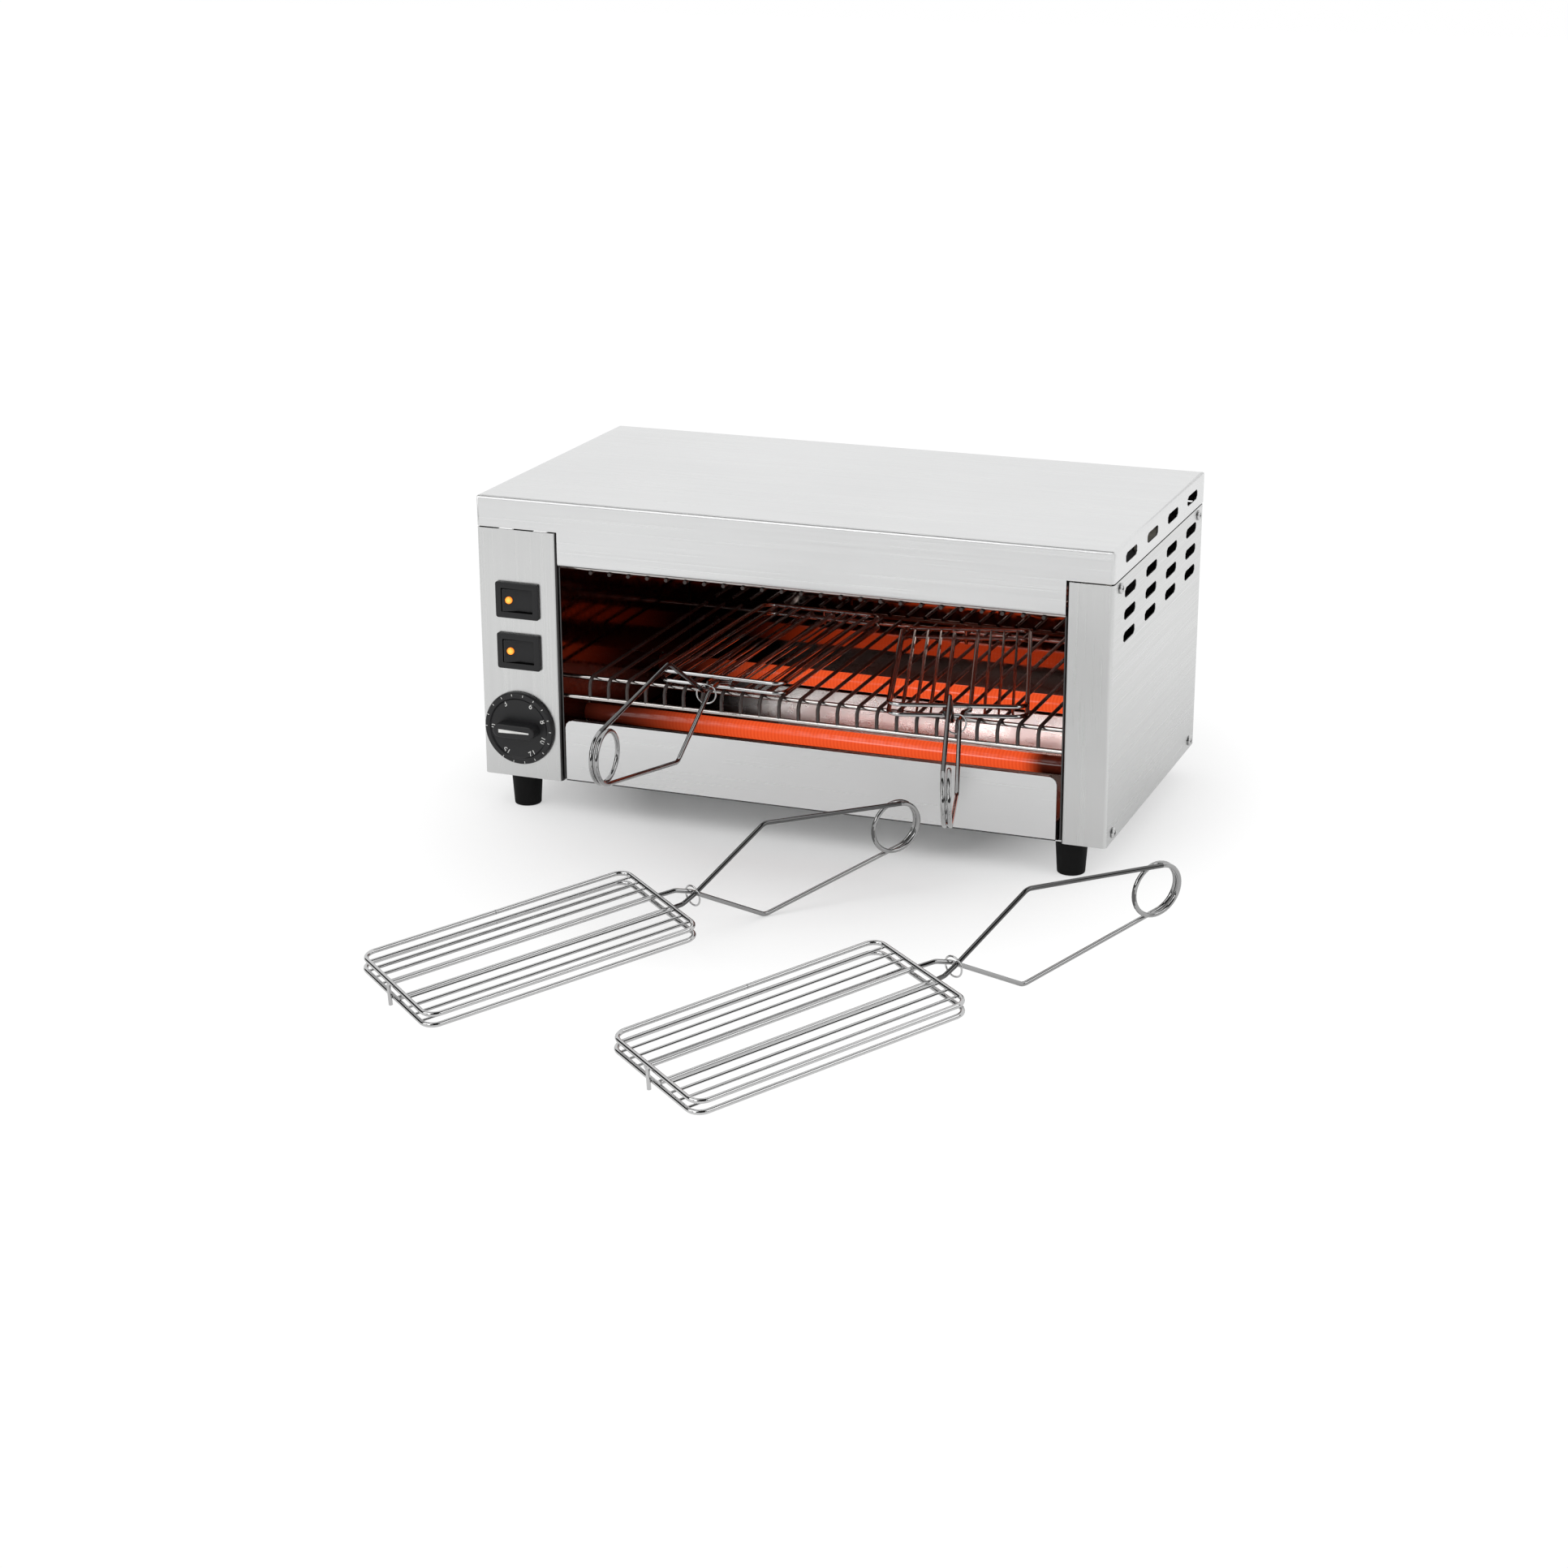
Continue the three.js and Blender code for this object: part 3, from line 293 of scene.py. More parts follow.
def lampLens():
    material, tree, bsdf = shader("amberLamp", lampGlow["lens"], lampGlow["roughness"])
    attribute = addNode(tree, "ShaderNodeAttribute")
    attribute.attribute_name = "reach"
    color = tint(tree, attribute.outputs["Fac"], lampGlow["middle"], lampGlow["rim"], 0.0, 1.0)
    tree.links.new(color, bsdf.inputs["Emission Color"])
    bsdf.inputs["Emission Strength"].default_value = lampGlow["power"]
    return material


finishes["quartz"] = quartzGlass()
finishes["lamp"] = lampLens()
print("materials:", len(finishes))

weld = 1e-7  # points nearer than this, in metres, are one


def toMesh(name, bm):
    mesh = bpy.data.meshes.new(name)
    bm.to_mesh(mesh)
    bm.free()
    return mesh


def smoothFaces(mesh, angle):
    bm = bmesh.new()
    bm.from_mesh(mesh)
    limit = math.radians(angle)
    for face in bm.faces:
        face.smooth = True
    for edge in bm.edges:
        edge.smooth = edge.is_manifold and edge.calc_face_angle(0.0) < limit
    bm.to_mesh(mesh)
    bm.free()


def addPiece(name, meshes, body, replaced, material, angle=38, weighted=False):
    joined = bmesh.new()
    for mesh in meshes:
        joined.from_mesh(mesh)
    mesh = toMesh(name, joined)
    mesh.materials.clear()
    mesh.materials.append(material)
    smoothFaces(mesh, angle)
    piece = bpy.data.objects.new(name, mesh)
    scene.collection.objects.link(piece)
    if weighted:
        weigh = piece.modifiers.new("flatFaces", "WEIGHTED_NORMAL")
        weigh.keep_sharp = True
    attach(piece, body)
    if replaced:
        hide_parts(*replaced)
    return piece


def addFinish(piece, finish):
    # hands back the number that a face of this finish gets
    piece.data.materials.append(finishes[finish])
    return len(piece.data.materials) - 1


def onCircle(radius, angle, x=0, y=0):
    return x + radius * math.cos(angle), y + radius * math.sin(angle)


def rectangle(halfX, halfY):
    return [(-halfX, -halfY), (halfX, -halfY), (halfX, halfY), (-halfX, halfY)]


def rodProfile(radius, low, high):
    return [(0, low), (radius, low), (radius, high), (0, high)]


def moved(mesh, matrix):
    mesh.transform(matrix)
    return mesh


def lathe(profile, sides, matrix=Matrix.Identity(4)):
    # profile is (radius, height) in millimetres, from the axis round to the axis or closed on itself
    bm = bmesh.new()
    reach = bm.verts.layers.float.new("reach")
    widest = max(radius for radius, height in profile)
    verts = []
    for radius, height in profile:
        vert = bm.verts.new((radius * mm, 0, height * mm))
        vert[reach] = radius / widest
        verts.append(vert)
    for a, b in zip(verts, verts[1:]):
        bm.edges.new((a, b))
    if profile[0][0] > 0 and profile[-1][0] > 0:
        bm.edges.new((verts[-1], verts[0]))
    bmesh.ops.spin(bm, geom=bm.verts[:] + bm.edges[:], cent=(0, 0, 0), axis=(0, 0, 1),
                   angle=2 * math.pi, steps=sides)
    bmesh.ops.remove_doubles(bm, verts=bm.verts, dist=weld)
    bmesh.ops.recalc_face_normals(bm, faces=bm.faces)
    return moved(toMesh("turned", bm), matrix)


def rounded(profile, radius, steps=4, most=0.45):
    # rounds each inner corner of a (radius, height) profile, over at most this share of its shorter side
    result = [profile[0]]
    for before, corner, after in zip(profile, profile[1:], profile[2:]):
        corner = Vector(corner)
        inward, outward = Vector(before) - corner, Vector(after) - corner
        reach = min(radius, inward.length * most, outward.length * most)
        start, end = corner + inward.normalized() * reach, corner + outward.normalized() * reach
        for step in range(steps + 1):
            t = step / steps
            point = start * (1 - t) ** 2 + corner * 2 * t * (1 - t) + end * t ** 2
            result.append((max(0.0, point.x), point.y))
    result.append(profile[-1])
    return result


def extrudedOutline(points, low, high, bevel, segments=3, sharpFrom=35):
    # outline in millimetres in the XY plane, drawn up from low to high, with its edges bevelled
    bm = bmesh.new()
    verts = [bm.verts.new((x * mm, y * mm, low * mm)) for x, y in points]
    face = bm.faces.new(verts)
    top = bmesh.ops.extrude_face_region(bm, geom=[face])
    topVerts = [item for item in top["geom"] if isinstance(item, bmesh.types.BMVert)]
    bmesh.ops.translate(bm, verts=topVerts, vec=(0, 0, (high - low) * mm))
    bmesh.ops.recalc_face_normals(bm, faces=bm.faces)
    if bevel:
        sharp = [edge for edge in bm.edges if edge.calc_face_angle(0) > math.radians(sharpFrom)]
        bmesh.ops.bevel(bm, geom=sharp, offset=bevel * mm, segments=segments, profile=0.5,
                        affect="EDGES", clamp_overlap=True)
    return toMesh("outline", bm)


def roundedOutline(width, height, corner, steps=5):
    points = []
    for wayX, wayY, start in ((1, 1, 0), (-1, 1, 90), (-1, -1, 180), (1, -1, 270)):
        for step in range(steps + 1):
            angle = math.radians(start + 90 * step / steps)
            points.append(onCircle(corner, angle, wayX * (width / 2 - corner), wayY * (height / 2 - corner)))
    return points


def cutAway(mesh, cutters):
    piece = bpy.data.objects.new("cutting", mesh)
    scene.collection.objects.link(piece)
    tools = []
    for cutter in cutters:
        tool = bpy.data.objects.new("cutter", cutter)
        scene.collection.objects.link(tool)
        boolean = piece.modifiers.new("cut", "BOOLEAN")
        boolean.operation, boolean.solver, boolean.object = "DIFFERENCE", "EXACT", tool
        tools.append(tool)
    graph = bpy.context.evaluated_depsgraph_get()
    result = bpy.data.meshes.new_from_object(piece.evaluated_get(graph), depsgraph=graph)
    for item in (piece, *tools):
        bpy.data.objects.remove(item)
    return result


frontward = Matrix(((1, 0, 0), (0, 0, -1), (0, 1, 0))).to_4x4()  # local z to the front, local y up
backward = Matrix(((-1, 0, 0), (0, 0, 1), (0, 1, 0))).to_4x4()  # local z to the back, local y up
alongX = Matrix(((0, 0, 1), (0, 1, 0), (-1, 0, 0))).to_4x4()  # local z to the right
wireInputs = [("Wire Radius", "Float", 0.0015), ("Sides", "Int", 12)]


def newTree(name, inputs):
    tree = bpy.data.node_groups.new(name, "GeometryNodeTree")
    tree.is_modifier = True
    tree.interface.new_socket(name="Geometry", in_out="INPUT", socket_type="NodeSocketGeometry")
    for label, kind, value in [*inputs, ("Material", "Material", None)]:
        socket = tree.interface.new_socket(name=label, in_out="INPUT", socket_type="NodeSocket" + kind)
        if value is not None:
            socket.default_value = value
    tree.interface.new_socket(name="Geometry", in_out="OUTPUT", socket_type="NodeSocketGeometry")
    return tree, tree.nodes.new("NodeGroupInput"), tree.nodes.new("NodeGroupOutput")


def sweep(tree, source, given):
    # the drawn edges become a curve, and a round section is swept along it
    curve = addNode(tree, "GeometryNodeMeshToCurve")
    section = addNode(tree, "GeometryNodeCurvePrimitiveCircle")
    rod = addNode(tree, "GeometryNodeCurveToMesh")
    rod.inputs["Fill Caps"].default_value = True
    tree.links.new(source, curve.inputs["Mesh"])
    tree.links.new(given.outputs["Wire Radius"], section.inputs["Radius"])
    tree.links.new(given.outputs["Sides"], section.inputs["Resolution"])
    tree.links.new(curve.outputs["Curve"], rod.inputs["Curve"])
    tree.links.new(section.outputs["Curve"], rod.inputs["Profile Curve"])
    return rod.outputs["Mesh"]


def finishTree(tree, result, given, output):
    real = addNode(tree, "GeometryNodeRealizeInstances")
    paint = addNode(tree, "GeometryNodeSetMaterial")
    tree.links.new(result, real.inputs["Geometry"])
    tree.links.new(real.outputs["Geometry"], paint.inputs["Geometry"])
    tree.links.new(given.outputs["Material"], paint.inputs["Material"])
    tree.links.new(paint.outputs["Geometry"], output.inputs["Geometry"])
    return tree


def wireTree():
    tree, given, output = newTree("drawnWire", wireInputs)
    return finishTree(tree, sweep(tree, given.outputs["Geometry"], given), given, output)


def rowTree():
    # the same wire again and again, one pitch apart
    tree, given, output = newTree("wireRow", [*wireInputs, ("Count", "Int", 3), ("Pitch", "Vector", None)])
    line = addNode(tree, "GeometryNodeMeshLine")
    repeat = addNode(tree, "GeometryNodeInstanceOnPoints")
    tree.links.new(given.outputs["Count"], line.inputs["Count"])
    tree.links.new(given.outputs["Pitch"], line.inputs["Offset"])
    tree.links.new(line.outputs["Mesh"], repeat.inputs["Points"])
    tree.links.new(sweep(tree, given.outputs["Geometry"], given), repeat.inputs["Instance"])
    return finishTree(tree, repeat.outputs["Instances"], given, output)


def pointTree():
    # the same mesh at each point of an object, turned as the point says
    tree, given, output = newTree("repeatAtPoints", [("Points", "Object", None)])
    spots = addNode(tree, "GeometryNodeObjectInfo")
    turn = addNode(tree, "GeometryNodeInputNamedAttribute")
    turn.data_type = "FLOAT_VECTOR"
    turn.inputs["Name"].default_value = "turn"
    repeat = addNode(tree, "GeometryNodeInstanceOnPoints")
    tree.links.new(given.outputs["Points"], spots.inputs["Object"])
    tree.links.new(spots.outputs["Geometry"], repeat.inputs["Points"])
    tree.links.new(given.outputs["Geometry"], repeat.inputs["Instance"])
    tree.links.new(turn.outputs["Attribute"], repeat.inputs["Rotation"])
    return finishTree(tree, repeat.outputs["Instances"], given, output)


trees = {"wire": wireTree(), "row": rowTree(), "points": pointTree()}


def grow(mesh, tree, settings):
    # runs a tree on a mesh and hands back the plain mesh that it makes
    seed = bpy.data.objects.new("seed", mesh)
    scene.collection.objects.link(seed)
    modifier = seed.modifiers.new("grow", "NODES")
    modifier.node_group = tree
    for item in tree.interface.items_tree:
        if item.in_out == "INPUT" and item.name in settings:
            modifier[item.identifier] = settings[item.name]
    graph = bpy.context.evaluated_depsgraph_get()
    result = bpy.data.meshes.new_from_object(seed.evaluated_get(graph), depsgraph=graph)
    seed.modifiers.remove(modifier)
    bpy.data.objects.remove(seed)
    return result


def lineMesh(points):
    mesh = bpy.data.meshes.new("line")
    mesh.from_pydata([tuple(point) for point in points], [(i, i + 1) for i in range(len(points) - 1)], [])
    return mesh


def bentLine(corners, steps=6, straight=0.001):
    # corners are (point, bend radius) in millimetres; each inner corner becomes an arc, unless it is straight
    points = [Vector(corners[0][0])]
    for i in range(1, len(corners) - 1):
        corner, radius = Vector(corners[i][0]), corners[i][1]
        before = (Vector(corners[i - 1][0]) - corner).normalized()
        after = (Vector(corners[i + 1][0]) - corner).normalized()
        half = before.angle(after) / 2
        if not radius or half > math.pi / 2 - straight:
            points.append(corner)
            continue
        reach = radius / math.tan(half)
        centre = corner + (before + after).normalized() * radius / math.sin(half)
        first, last = corner + before * reach - centre, corner + after * reach - centre
        first.normalize()
        last.normalize()
        points += [centre + first.slerp(last, step / steps) * radius for step in range(steps + 1)]
    points.append(Vector(corners[-1][0]))
    return [point * mm for point in points]


def wireOf(points, diameter, material, matrix, sides=12):
    settings = {"Wire Radius": diameter / 2 * mm, "Sides": sides, "Material": material}
    return moved(grow(lineMesh(points), trees["wire"], settings), matrix)


def rowOf(points, diameter, count, pitch, material, matrix, sides):
    settings = {"Wire Radius": diameter / 2 * mm, "Sides": sides, "Count": count,
                "Pitch": tuple(v * mm for v in pitch), "Material": material}
    return moved(grow(lineMesh(points), trees["row"], settings), matrix)


# the sheets: the node, and the piece's name, finish and slot
sheets = {
    "top_cover": ("topCover", "cover", "steel_sheet"),
    "left_panel": ("leftPanel", "side", "steel_sheet"),
    "right_panel": ("rightPanel", "side", "steel_sheet"),
    "back_panel": ("backPanel", "cover", "steel_sheet"),
    "base_pan": ("basePan", "cover", "steel_sheet"),
    # the left wall takes the cavity steel with painted shade
    "cavity_left_wall": ("cavityLeftWall", "shadedWall", "polished_sheet"),
    "cavity_right_wall": ("cavityRightWall", "cavity", "polished_sheet"),
    "cavity_back_wall": ("cavityBackWall", "cavity", "polished_sheet"),
    "ceiling_reflector": ("ceilingReflector", "cavity", "polished_sheet"),
}
sheetMetal = {"weld": 1e-6, "flat": 1.0, "sharp": 60, "bevel": 0.22, "smooth": 40, "facing": 0.7}
housingMiddle = place(housing["width"] / 2, housing["depth"] / 2, housing["height"] / 2)


def sheetMesh(node):
    # a welded copy of the node, its flat triangles joined and its cut edges broken
    bm = bmesh.new()
    bm.from_mesh(nodes[node].data)
    bmesh.ops.remove_doubles(bm, verts=bm.verts, dist=sheetMetal["weld"])
    bmesh.ops.dissolve_limit(bm, angle_limit=math.radians(sheetMetal["flat"]), verts=bm.verts, edges=bm.edges)
    limit = math.radians(sheetMetal["sharp"])
    sharp = [edge for edge in bm.edges if edge.is_manifold and edge.calc_face_angle(0) > limit]
    bmesh.ops.bevel(bm, geom=sharp, offset=sheetMetal["bevel"] * mm, segments=2, profile=0.5,
                    affect="EDGES", clamp_overlap=True)
    return toMesh(node, bm)


for node, (name, finish, slotName) in sheets.items():
    piece = addPiece(name, [sheetMesh(node)], "oven_body", [node], finishes[finish],
                     angle=sheetMetal["smooth"], weighted=True)
    # the front flanges are brushed upright, and the faces in the space between the two shells are painted
    # dark, a painted shade
    upright, paintedShade = addFinish(piece, "upright"), addFinish(piece, "inside")
    for face in piece.data.polygons:
        inward = (housingMiddle - face.center).dot(face.normal) > 0
        if node != "base_pan" and inward != (slotName == "polished_sheet"):
            face.material_index = paintedShade
        elif finish == "side" and face.normal.y < -sheetMetal["facing"]:
            face.material_index = upright

# the front has a painted shade line along its lower edge, lip high; behind it the tray is painted light and
# shade up to floorHeight
tray = {"lip": 0.9, "frontSkin": 0.5, "frontWall": 1.05, "frontDepth": 5, "floorHeight": 14}
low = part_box("crumb_tray")[0]
trayLip = low.z + tray["lip"] * mm
bm = bmesh.new()
bm.from_mesh(sheetMesh("crumb_tray"))
front = [face for face in bm.faces if face.normal.y < -sheetMetal["facing"]
         and face.calc_center_median().y < low.y + tray["frontSkin"] * mm]
edges = {edge for face in front for edge in face.edges}
verts = {vert for face in front for vert in face.verts}
bmesh.ops.bisect_plane(bm, geom=[*front, *edges, *verts], dist=weld,
                       plane_co=(0, 0, trayLip), plane_no=(0, 0, 1))
trayPiece = addPiece("crumbTray", [toMesh("tray", bm)], "crumb_tray", ["crumb_tray"],
                     finishes["cover"], angle=sheetMetal["smooth"], weighted=True)
paintedFloor, paintedShade = addFinish(trayPiece, "trayFloor"), addFinish(trayPiece, "inside")
for face in trayPiece.data.polygons:
    centre = face.center
    innerFront = face.normal.y > sheetMetal["facing"] and centre.y < low.y + tray["frontDepth"] * mm
    # painted light and shade on the tray floor
    if centre.y > low.y + tray["frontWall"] * mm and centre.z < low.z + tray["floorHeight"] * mm:
        face.material_index = paintedFloor
    # painted shade along the lip and on the inner face of the front wall
    elif centre.z < trayLip or innerFront:
        face.material_index = paintedShade
print("sheets:", len(sheets) + 1)

# a tong in its own frame: x goes from the cage's far end to the coil, y to the left and z up
# each Run starts at the cage's near end; the neck ring slides along (slideX, 0, slideZ)
tong = {
    "wire": 2.86, "bar": 1.56, "length": 174, "width": 87, "gap": 6.5, "corner": 8, "setback": 1,
    "overlap": 0.5, "weld": 0.5, "bars": 3, "barZ": 3.0, "cadWire": 3,
    "handleOffset": 8, "handleRun": 2, "humpRun": 12, "humpOffset": 4, "humpRise": 2.2,
    "neckRun": 21.5, "neckOffset": 2.2, "neckBend": 5, "bendRun": 71.5, "bendHeight": 32, "wireBend": 7,
    "coilRun": 166, "coilRadius": 16, "coilPitch": 3.5, "coilSteps": 60, "split": 0.4,
    "pegRadius": 1.2, "pegFoot": 8, "pegTip": 5, "pegX": -2.35,
    "ringRadius": 6.3, "ringWire": 1.16, "ringDrop": 1.8, "ringSwivel": 10, "ringSides": 10, "ringSteps": 40,
    "slideX": 0.842262, "slideZ": 0.539074,
}
coilX = tong["length"] + tong["coilRun"]
armRun = tong["coilRun"] - tong["bendRun"]
armRise = math.atan2(tong["bendHeight"], armRun)
slant = armRise - math.asin(tong["coilRadius"] / math.hypot(armRun, tong["bendHeight"]))
coilSweep = 3 * math.pi - 2 * slant
coilOffset = tong["coilPitch"] * coilSweep / (4 * math.pi)


def tongMatrix(number):
    # the tong's own frame, from its squeeze hinge and the slide of its neck ring
    hinge, slide = joints[f"tong_{number}_squeeze"], joints[f"tong_{number}_ring_slide"]
    left, along = Vector(hinge["axis"]).normalized(), Vector(slide["axis"]).normalized()
    tilt = math.atan2(tong["slideZ"], tong["slideX"])
    across = left.cross(along)
    forward = along * math.cos(tilt) + across * math.sin(tilt)
    up = forward.cross(left)
    matrix = Matrix((forward, left, up)).transposed().to_4x4()
    matrix.translation = Vector(hinge["pos_m"]) - forward * coilX * mm
    return matrix


def farEnd(side):
    # side is 1 for the upper half, which ends a little short, and -1 for the lower
    return tong["setback"] if side > 0 else 0


def cageMeshes(side, matrix):
    steel, corner = finishes["tongWire"], tong["corner"]
    far, near, middle = farEnd(side), tong["length"], tong["length"] / 2
    y, z = tong["width"] / 2, side * tong["gap"] / 2
    loop = [((middle, y, z), 0), ((far, y, z), corner), ((far, -y, z), corner),
            ((near, -y, z), corner), ((near, y, z), corner), ((middle - tong["overlap"], y, z), 0)]
    meshes = [wireOf(bentLine(loop, steps=8), tong["wire"], steel, matrix)]
    pitch = (y - tong["handleOffset"]) / (tong["bars"] + 1)
    for way in (-1, 1):
        first = way * (tong["handleOffset"] + pitch)
        ends = [metres(x, first, side * tong["barZ"]) for x in (far - tong["weld"], near + tong["weld"])]
        meshes.append(rowOf(ends, tong["bar"], tong["bars"], (0, way * pitch, 0), steel, matrix, sides=8))
    return meshes


def handleCorners(side):
    # along the cage, over the hump, through the neck and round the bend to the coil
    near, bendAt, turn = tong["length"], side * coilOffset, tong["neckBend"]
    z = side * (tong["gap"] / 2 - tong["cadWire"] + tong["weld"])
    endX = coilX + tong["coilRadius"] * math.sin(slant)
    end = Vector((endX, bendAt, -side * tong["coilRadius"] * math.cos(slant)))
    bend = Vector((near + tong["bendRun"], bendAt, -side * tong["bendHeight"]))
    if side > 0:
        end += (bend - end).normalized() * tong["split"]  # clear of the lower half's wire
    return [((farEnd(side) - tong["weld"], side * tong["handleOffset"], z), 0),
            ((near + tong["handleRun"], side * tong["handleOffset"], z), turn),
            ((near + tong["humpRun"], side * tong["humpOffset"], z + side * tong["humpRise"]), turn),
            ((near + tong["neckRun"], side * tong["neckOffset"], 0), turn),
            (bend, tong["wireBend"]), (end, 0)]


def coilLine():
    points = []
    for step in range(tong["coilSteps"] + 1):
        share = step / tong["coilSteps"]
        angle = slant - math.pi / 2 + coilSweep * share
        x, z = onCircle(tong["coilRadius"], angle, coilX)
        points.append(metres(x, coilOffset - 2 * coilOffset * share, z))
    return points


def addHalf(name, meshes, body, matrix, handleFinish):
    # the handle and coil are painted darker than the cage, a painted reflection of the dark room
    piece = addPiece(name, meshes, body, [body + "_half"], finishes["tongWire"])
    handle, coil = addFinish(piece, handleFinish), addFinish(piece, "tongCoil")
    inTong = matrix.inverted()
    for face in piece.data.polygons:
        reach = (inTong @ face.center).x / mm
        if reach > coilX - tong["coilRadius"]:
            face.material_index = coil
        elif reach > tong["length"] + tong["handleRun"]:
            face.material_index = handle


def addTong(number):
    steel, matrix = finishes["tongWire"], tongMatrix(number)
    upper = cageMeshes(1, matrix)
    upper.append(wireOf(bentLine(handleCorners(1)), tong["wire"], steel, matrix))
    addHalf(f"tong{number}Upper", upper, f"tong_{number}_upper", matrix, "tongCoil")
    handle = bentLine(handleCorners(-1))[:-1] + coilLine()[::-1]
    peg = [metres(tong["pegX"], 0, z) for z in (-tong["pegFoot"], tong["pegTip"])]
    lower = cageMeshes(-1, matrix)
    lower.append(wireOf(handle, tong["wire"], steel, matrix))
    lower.append(wireOf(peg, 2 * tong["pegRadius"], steel, matrix))
    addHalf(f"tong{number}Lower", lower, f"tong_{number}_lower", matrix, "tongLever")
    swivel = Matrix.Rotation(math.radians(tong["ringSwivel"]), 4, "Z")
    spot = Matrix.Translation(metres(tong["length"] + tong["neckRun"], 0, -tong["ringDrop"]))
    section = [onCircle(tong["ringWire"] / 2, 2 * math.pi * step / tong["ringSides"], tong["ringRadius"])
               for step in range(tong["ringSides"])]
    ring = lathe(section, tong["ringSteps"], matrix @ spot @ swivel @ Matrix.Rotation(math.pi / 2, 4, "Y"))
    addPiece(f"tong{number}Ring", [ring], f"tong_{number}_ring",
             [f"tong_{number}_neck_ring"], steel)


for number in (1, 2, 3, 4):
    addTong(number)
print("tongs: 4")

# the guards: the rack over the lower tubes, bent down at the front, and the grid under the upper ones
guard = {
    "wire": 2.5, "rail": 3, "count": 24, "first": 74.75, "pitch": 13.3, "left": 58.3, "right": 397.1,
    "weld": 0.4, "rackZ": 71, "rackFrontY": 8, "rackRailZ": 57.5, "rackBend": 6, "secondRailY": 17,
    "backY": 206, "gridZ": 141, "gridFrontY": 15, "overhang": 2, "wireSides": 12, "railSides": 14,
}
fromCorner = Matrix.Translation(bodyCorner)
sink = (guard["wire"] + guard["rail"]) / 2 - guard["weld"]
backEnd = guard["backY"] + guard["overhang"]


def rail(y, z):
    ends = [metres(x, y, z) for x in (guard["left"], guard["right"])]
    return wireOf(ends, guard["rail"], finishes["guardRail"], fromCorner, guard["railSides"])


def addGuard(name, node, line, rails):
    wires = rowOf(line, guard["wire"], guard["count"], (guard["pitch"], 0, 0), finishes["guardWire"],
                  fromCorner, guard["wireSides"])
    addPiece(name, [wires], "oven_body", [node], finishes["guardWire"])
    rods = [rail(y, z) for y, z in rails]
    addPiece(name + "Rails", rods, "oven_body", (), finishes["guardRail"])


rackWire = bentLine([((guard["first"], backEnd, guard["rackZ"]), 0),
                     ((guard["first"], guard["rackFrontY"], guard["rackZ"]), guard["rackBend"]),
                     ((guard["first"], guard["rackFrontY"], guard["rackRailZ"]), 0)], steps=8)
gridFront = guard["gridFrontY"] - guard["overhang"]
gridWire = [metres(guard["first"], y, guard["gridZ"]) for y in (gridFront, backEnd)]
under, over = guard["rackZ"] - sink, guard["gridZ"] + sink
addGuard("guardRack", "lower_guard_rack", rackWire, [
    (guard["rackFrontY"], guard["rackRailZ"]), (guard["secondRailY"], under), (guard["backY"], under)])
addGuard("guardGrid", "upper_guard_grid", gridWire, [(guard["gridFrontY"], over), (guard["backY"], over)])
print("guards: 2")

# the quartz tubes, each between two ceramic ends with a collar inside the wall
tube = {"radius": 6, "round": 1.2, "sides": 40}
ceramic = {"bore": 6.63, "body": 8, "collar": 9.6, "collarDepth": 2.4, "length": 15, "floor": 12.5,
           "round": 0.6, "sides": 32}
endProfile = [(0, ceramic["floor"])] + rounded([
    (ceramic["bore"], ceramic["floor"]), (ceramic["bore"], 0), (ceramic["collar"], 0),
    (ceramic["collar"], ceramic["collarDepth"]), (ceramic["body"], ceramic["collarDepth"]),
    (ceramic["body"], ceramic["length"]), (0, ceramic["length"])], ceramic["round"], steps=3)


def addTube(level, row):
    node = f"quartz_tube_{level}_{row}"
    low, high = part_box(node)
    centre = (low + high) / 2
    length = (high.x - low.x) / mm
    outline = rounded(rodProfile(tube["radius"], 0, length), tube["round"])
    glass = lathe(outline, tube["sides"], Matrix.Translation((low.x, centre.y, centre.z)) @ alongX)
    name = "quartzTube" + level.capitalize() + row.capitalize()
    addPiece(name, [glass], "oven_body", [node], finishes["quartz"])


def addEnd(level, row, side):
    node = f"ceramic_end_{level}_{row}_{side}"
    low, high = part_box(node)
    middle = (low + high) / 2
    if side == "left":
        matrix = Matrix.Translation((high.x, middle.y, middle.z)) @ Matrix.Rotation(math.pi, 4, "Z") @ alongX
    else:
        matrix = Matrix.Translation((low.x, middle.y, middle.z)) @ alongX
    name = "ceramicEnd" + level.capitalize() + row.capitalize() + side.capitalize()
    holder = lathe(endProfile, ceramic["sides"], matrix)
    addPiece(name, [holder], "oven_body", [node], finishes["ceramic"])


for level in ("lower", "upper"):
    for row in ("front", "rear"):
        addTube(level, row)
        for side in ("left", "right"):
            addEnd(level, row, side)
print("tubes: 4")

# the feet are turned, and wider at the top; the sole stands on its rim
foot = {"top": 10.3, "bottom": 8.9, "height": 22, "gap": 0.3, "rim": 3.2, "recess": 0.8, "round": 0.9,
        "sides": 48}
footTop = foot["height"] - foot["gap"]
footProfile = rounded([
    (0, foot["recess"]), (foot["bottom"] - foot["rim"], foot["recess"]), (foot["bottom"] - foot["rim"], 0),
    (foot["bottom"], 0), (foot["top"], footTop), (0, footTop)], foot["round"])
for end in ("front", "rear"):
    for side in ("left", "right"):
        low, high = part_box(f"foot_{end}_{side}")
        centre = (low + high) / 2
        name = "foot" + end.capitalize() + side.capitalize()
        mesh = lathe(footProfile, foot["sides"], Matrix.Translation((centre.x, centre.y, 0)))
        addPiece(name, [mesh], "oven_body", [f"foot_{end}_{side}"], finishes["rubber"])
print("feet: 4")

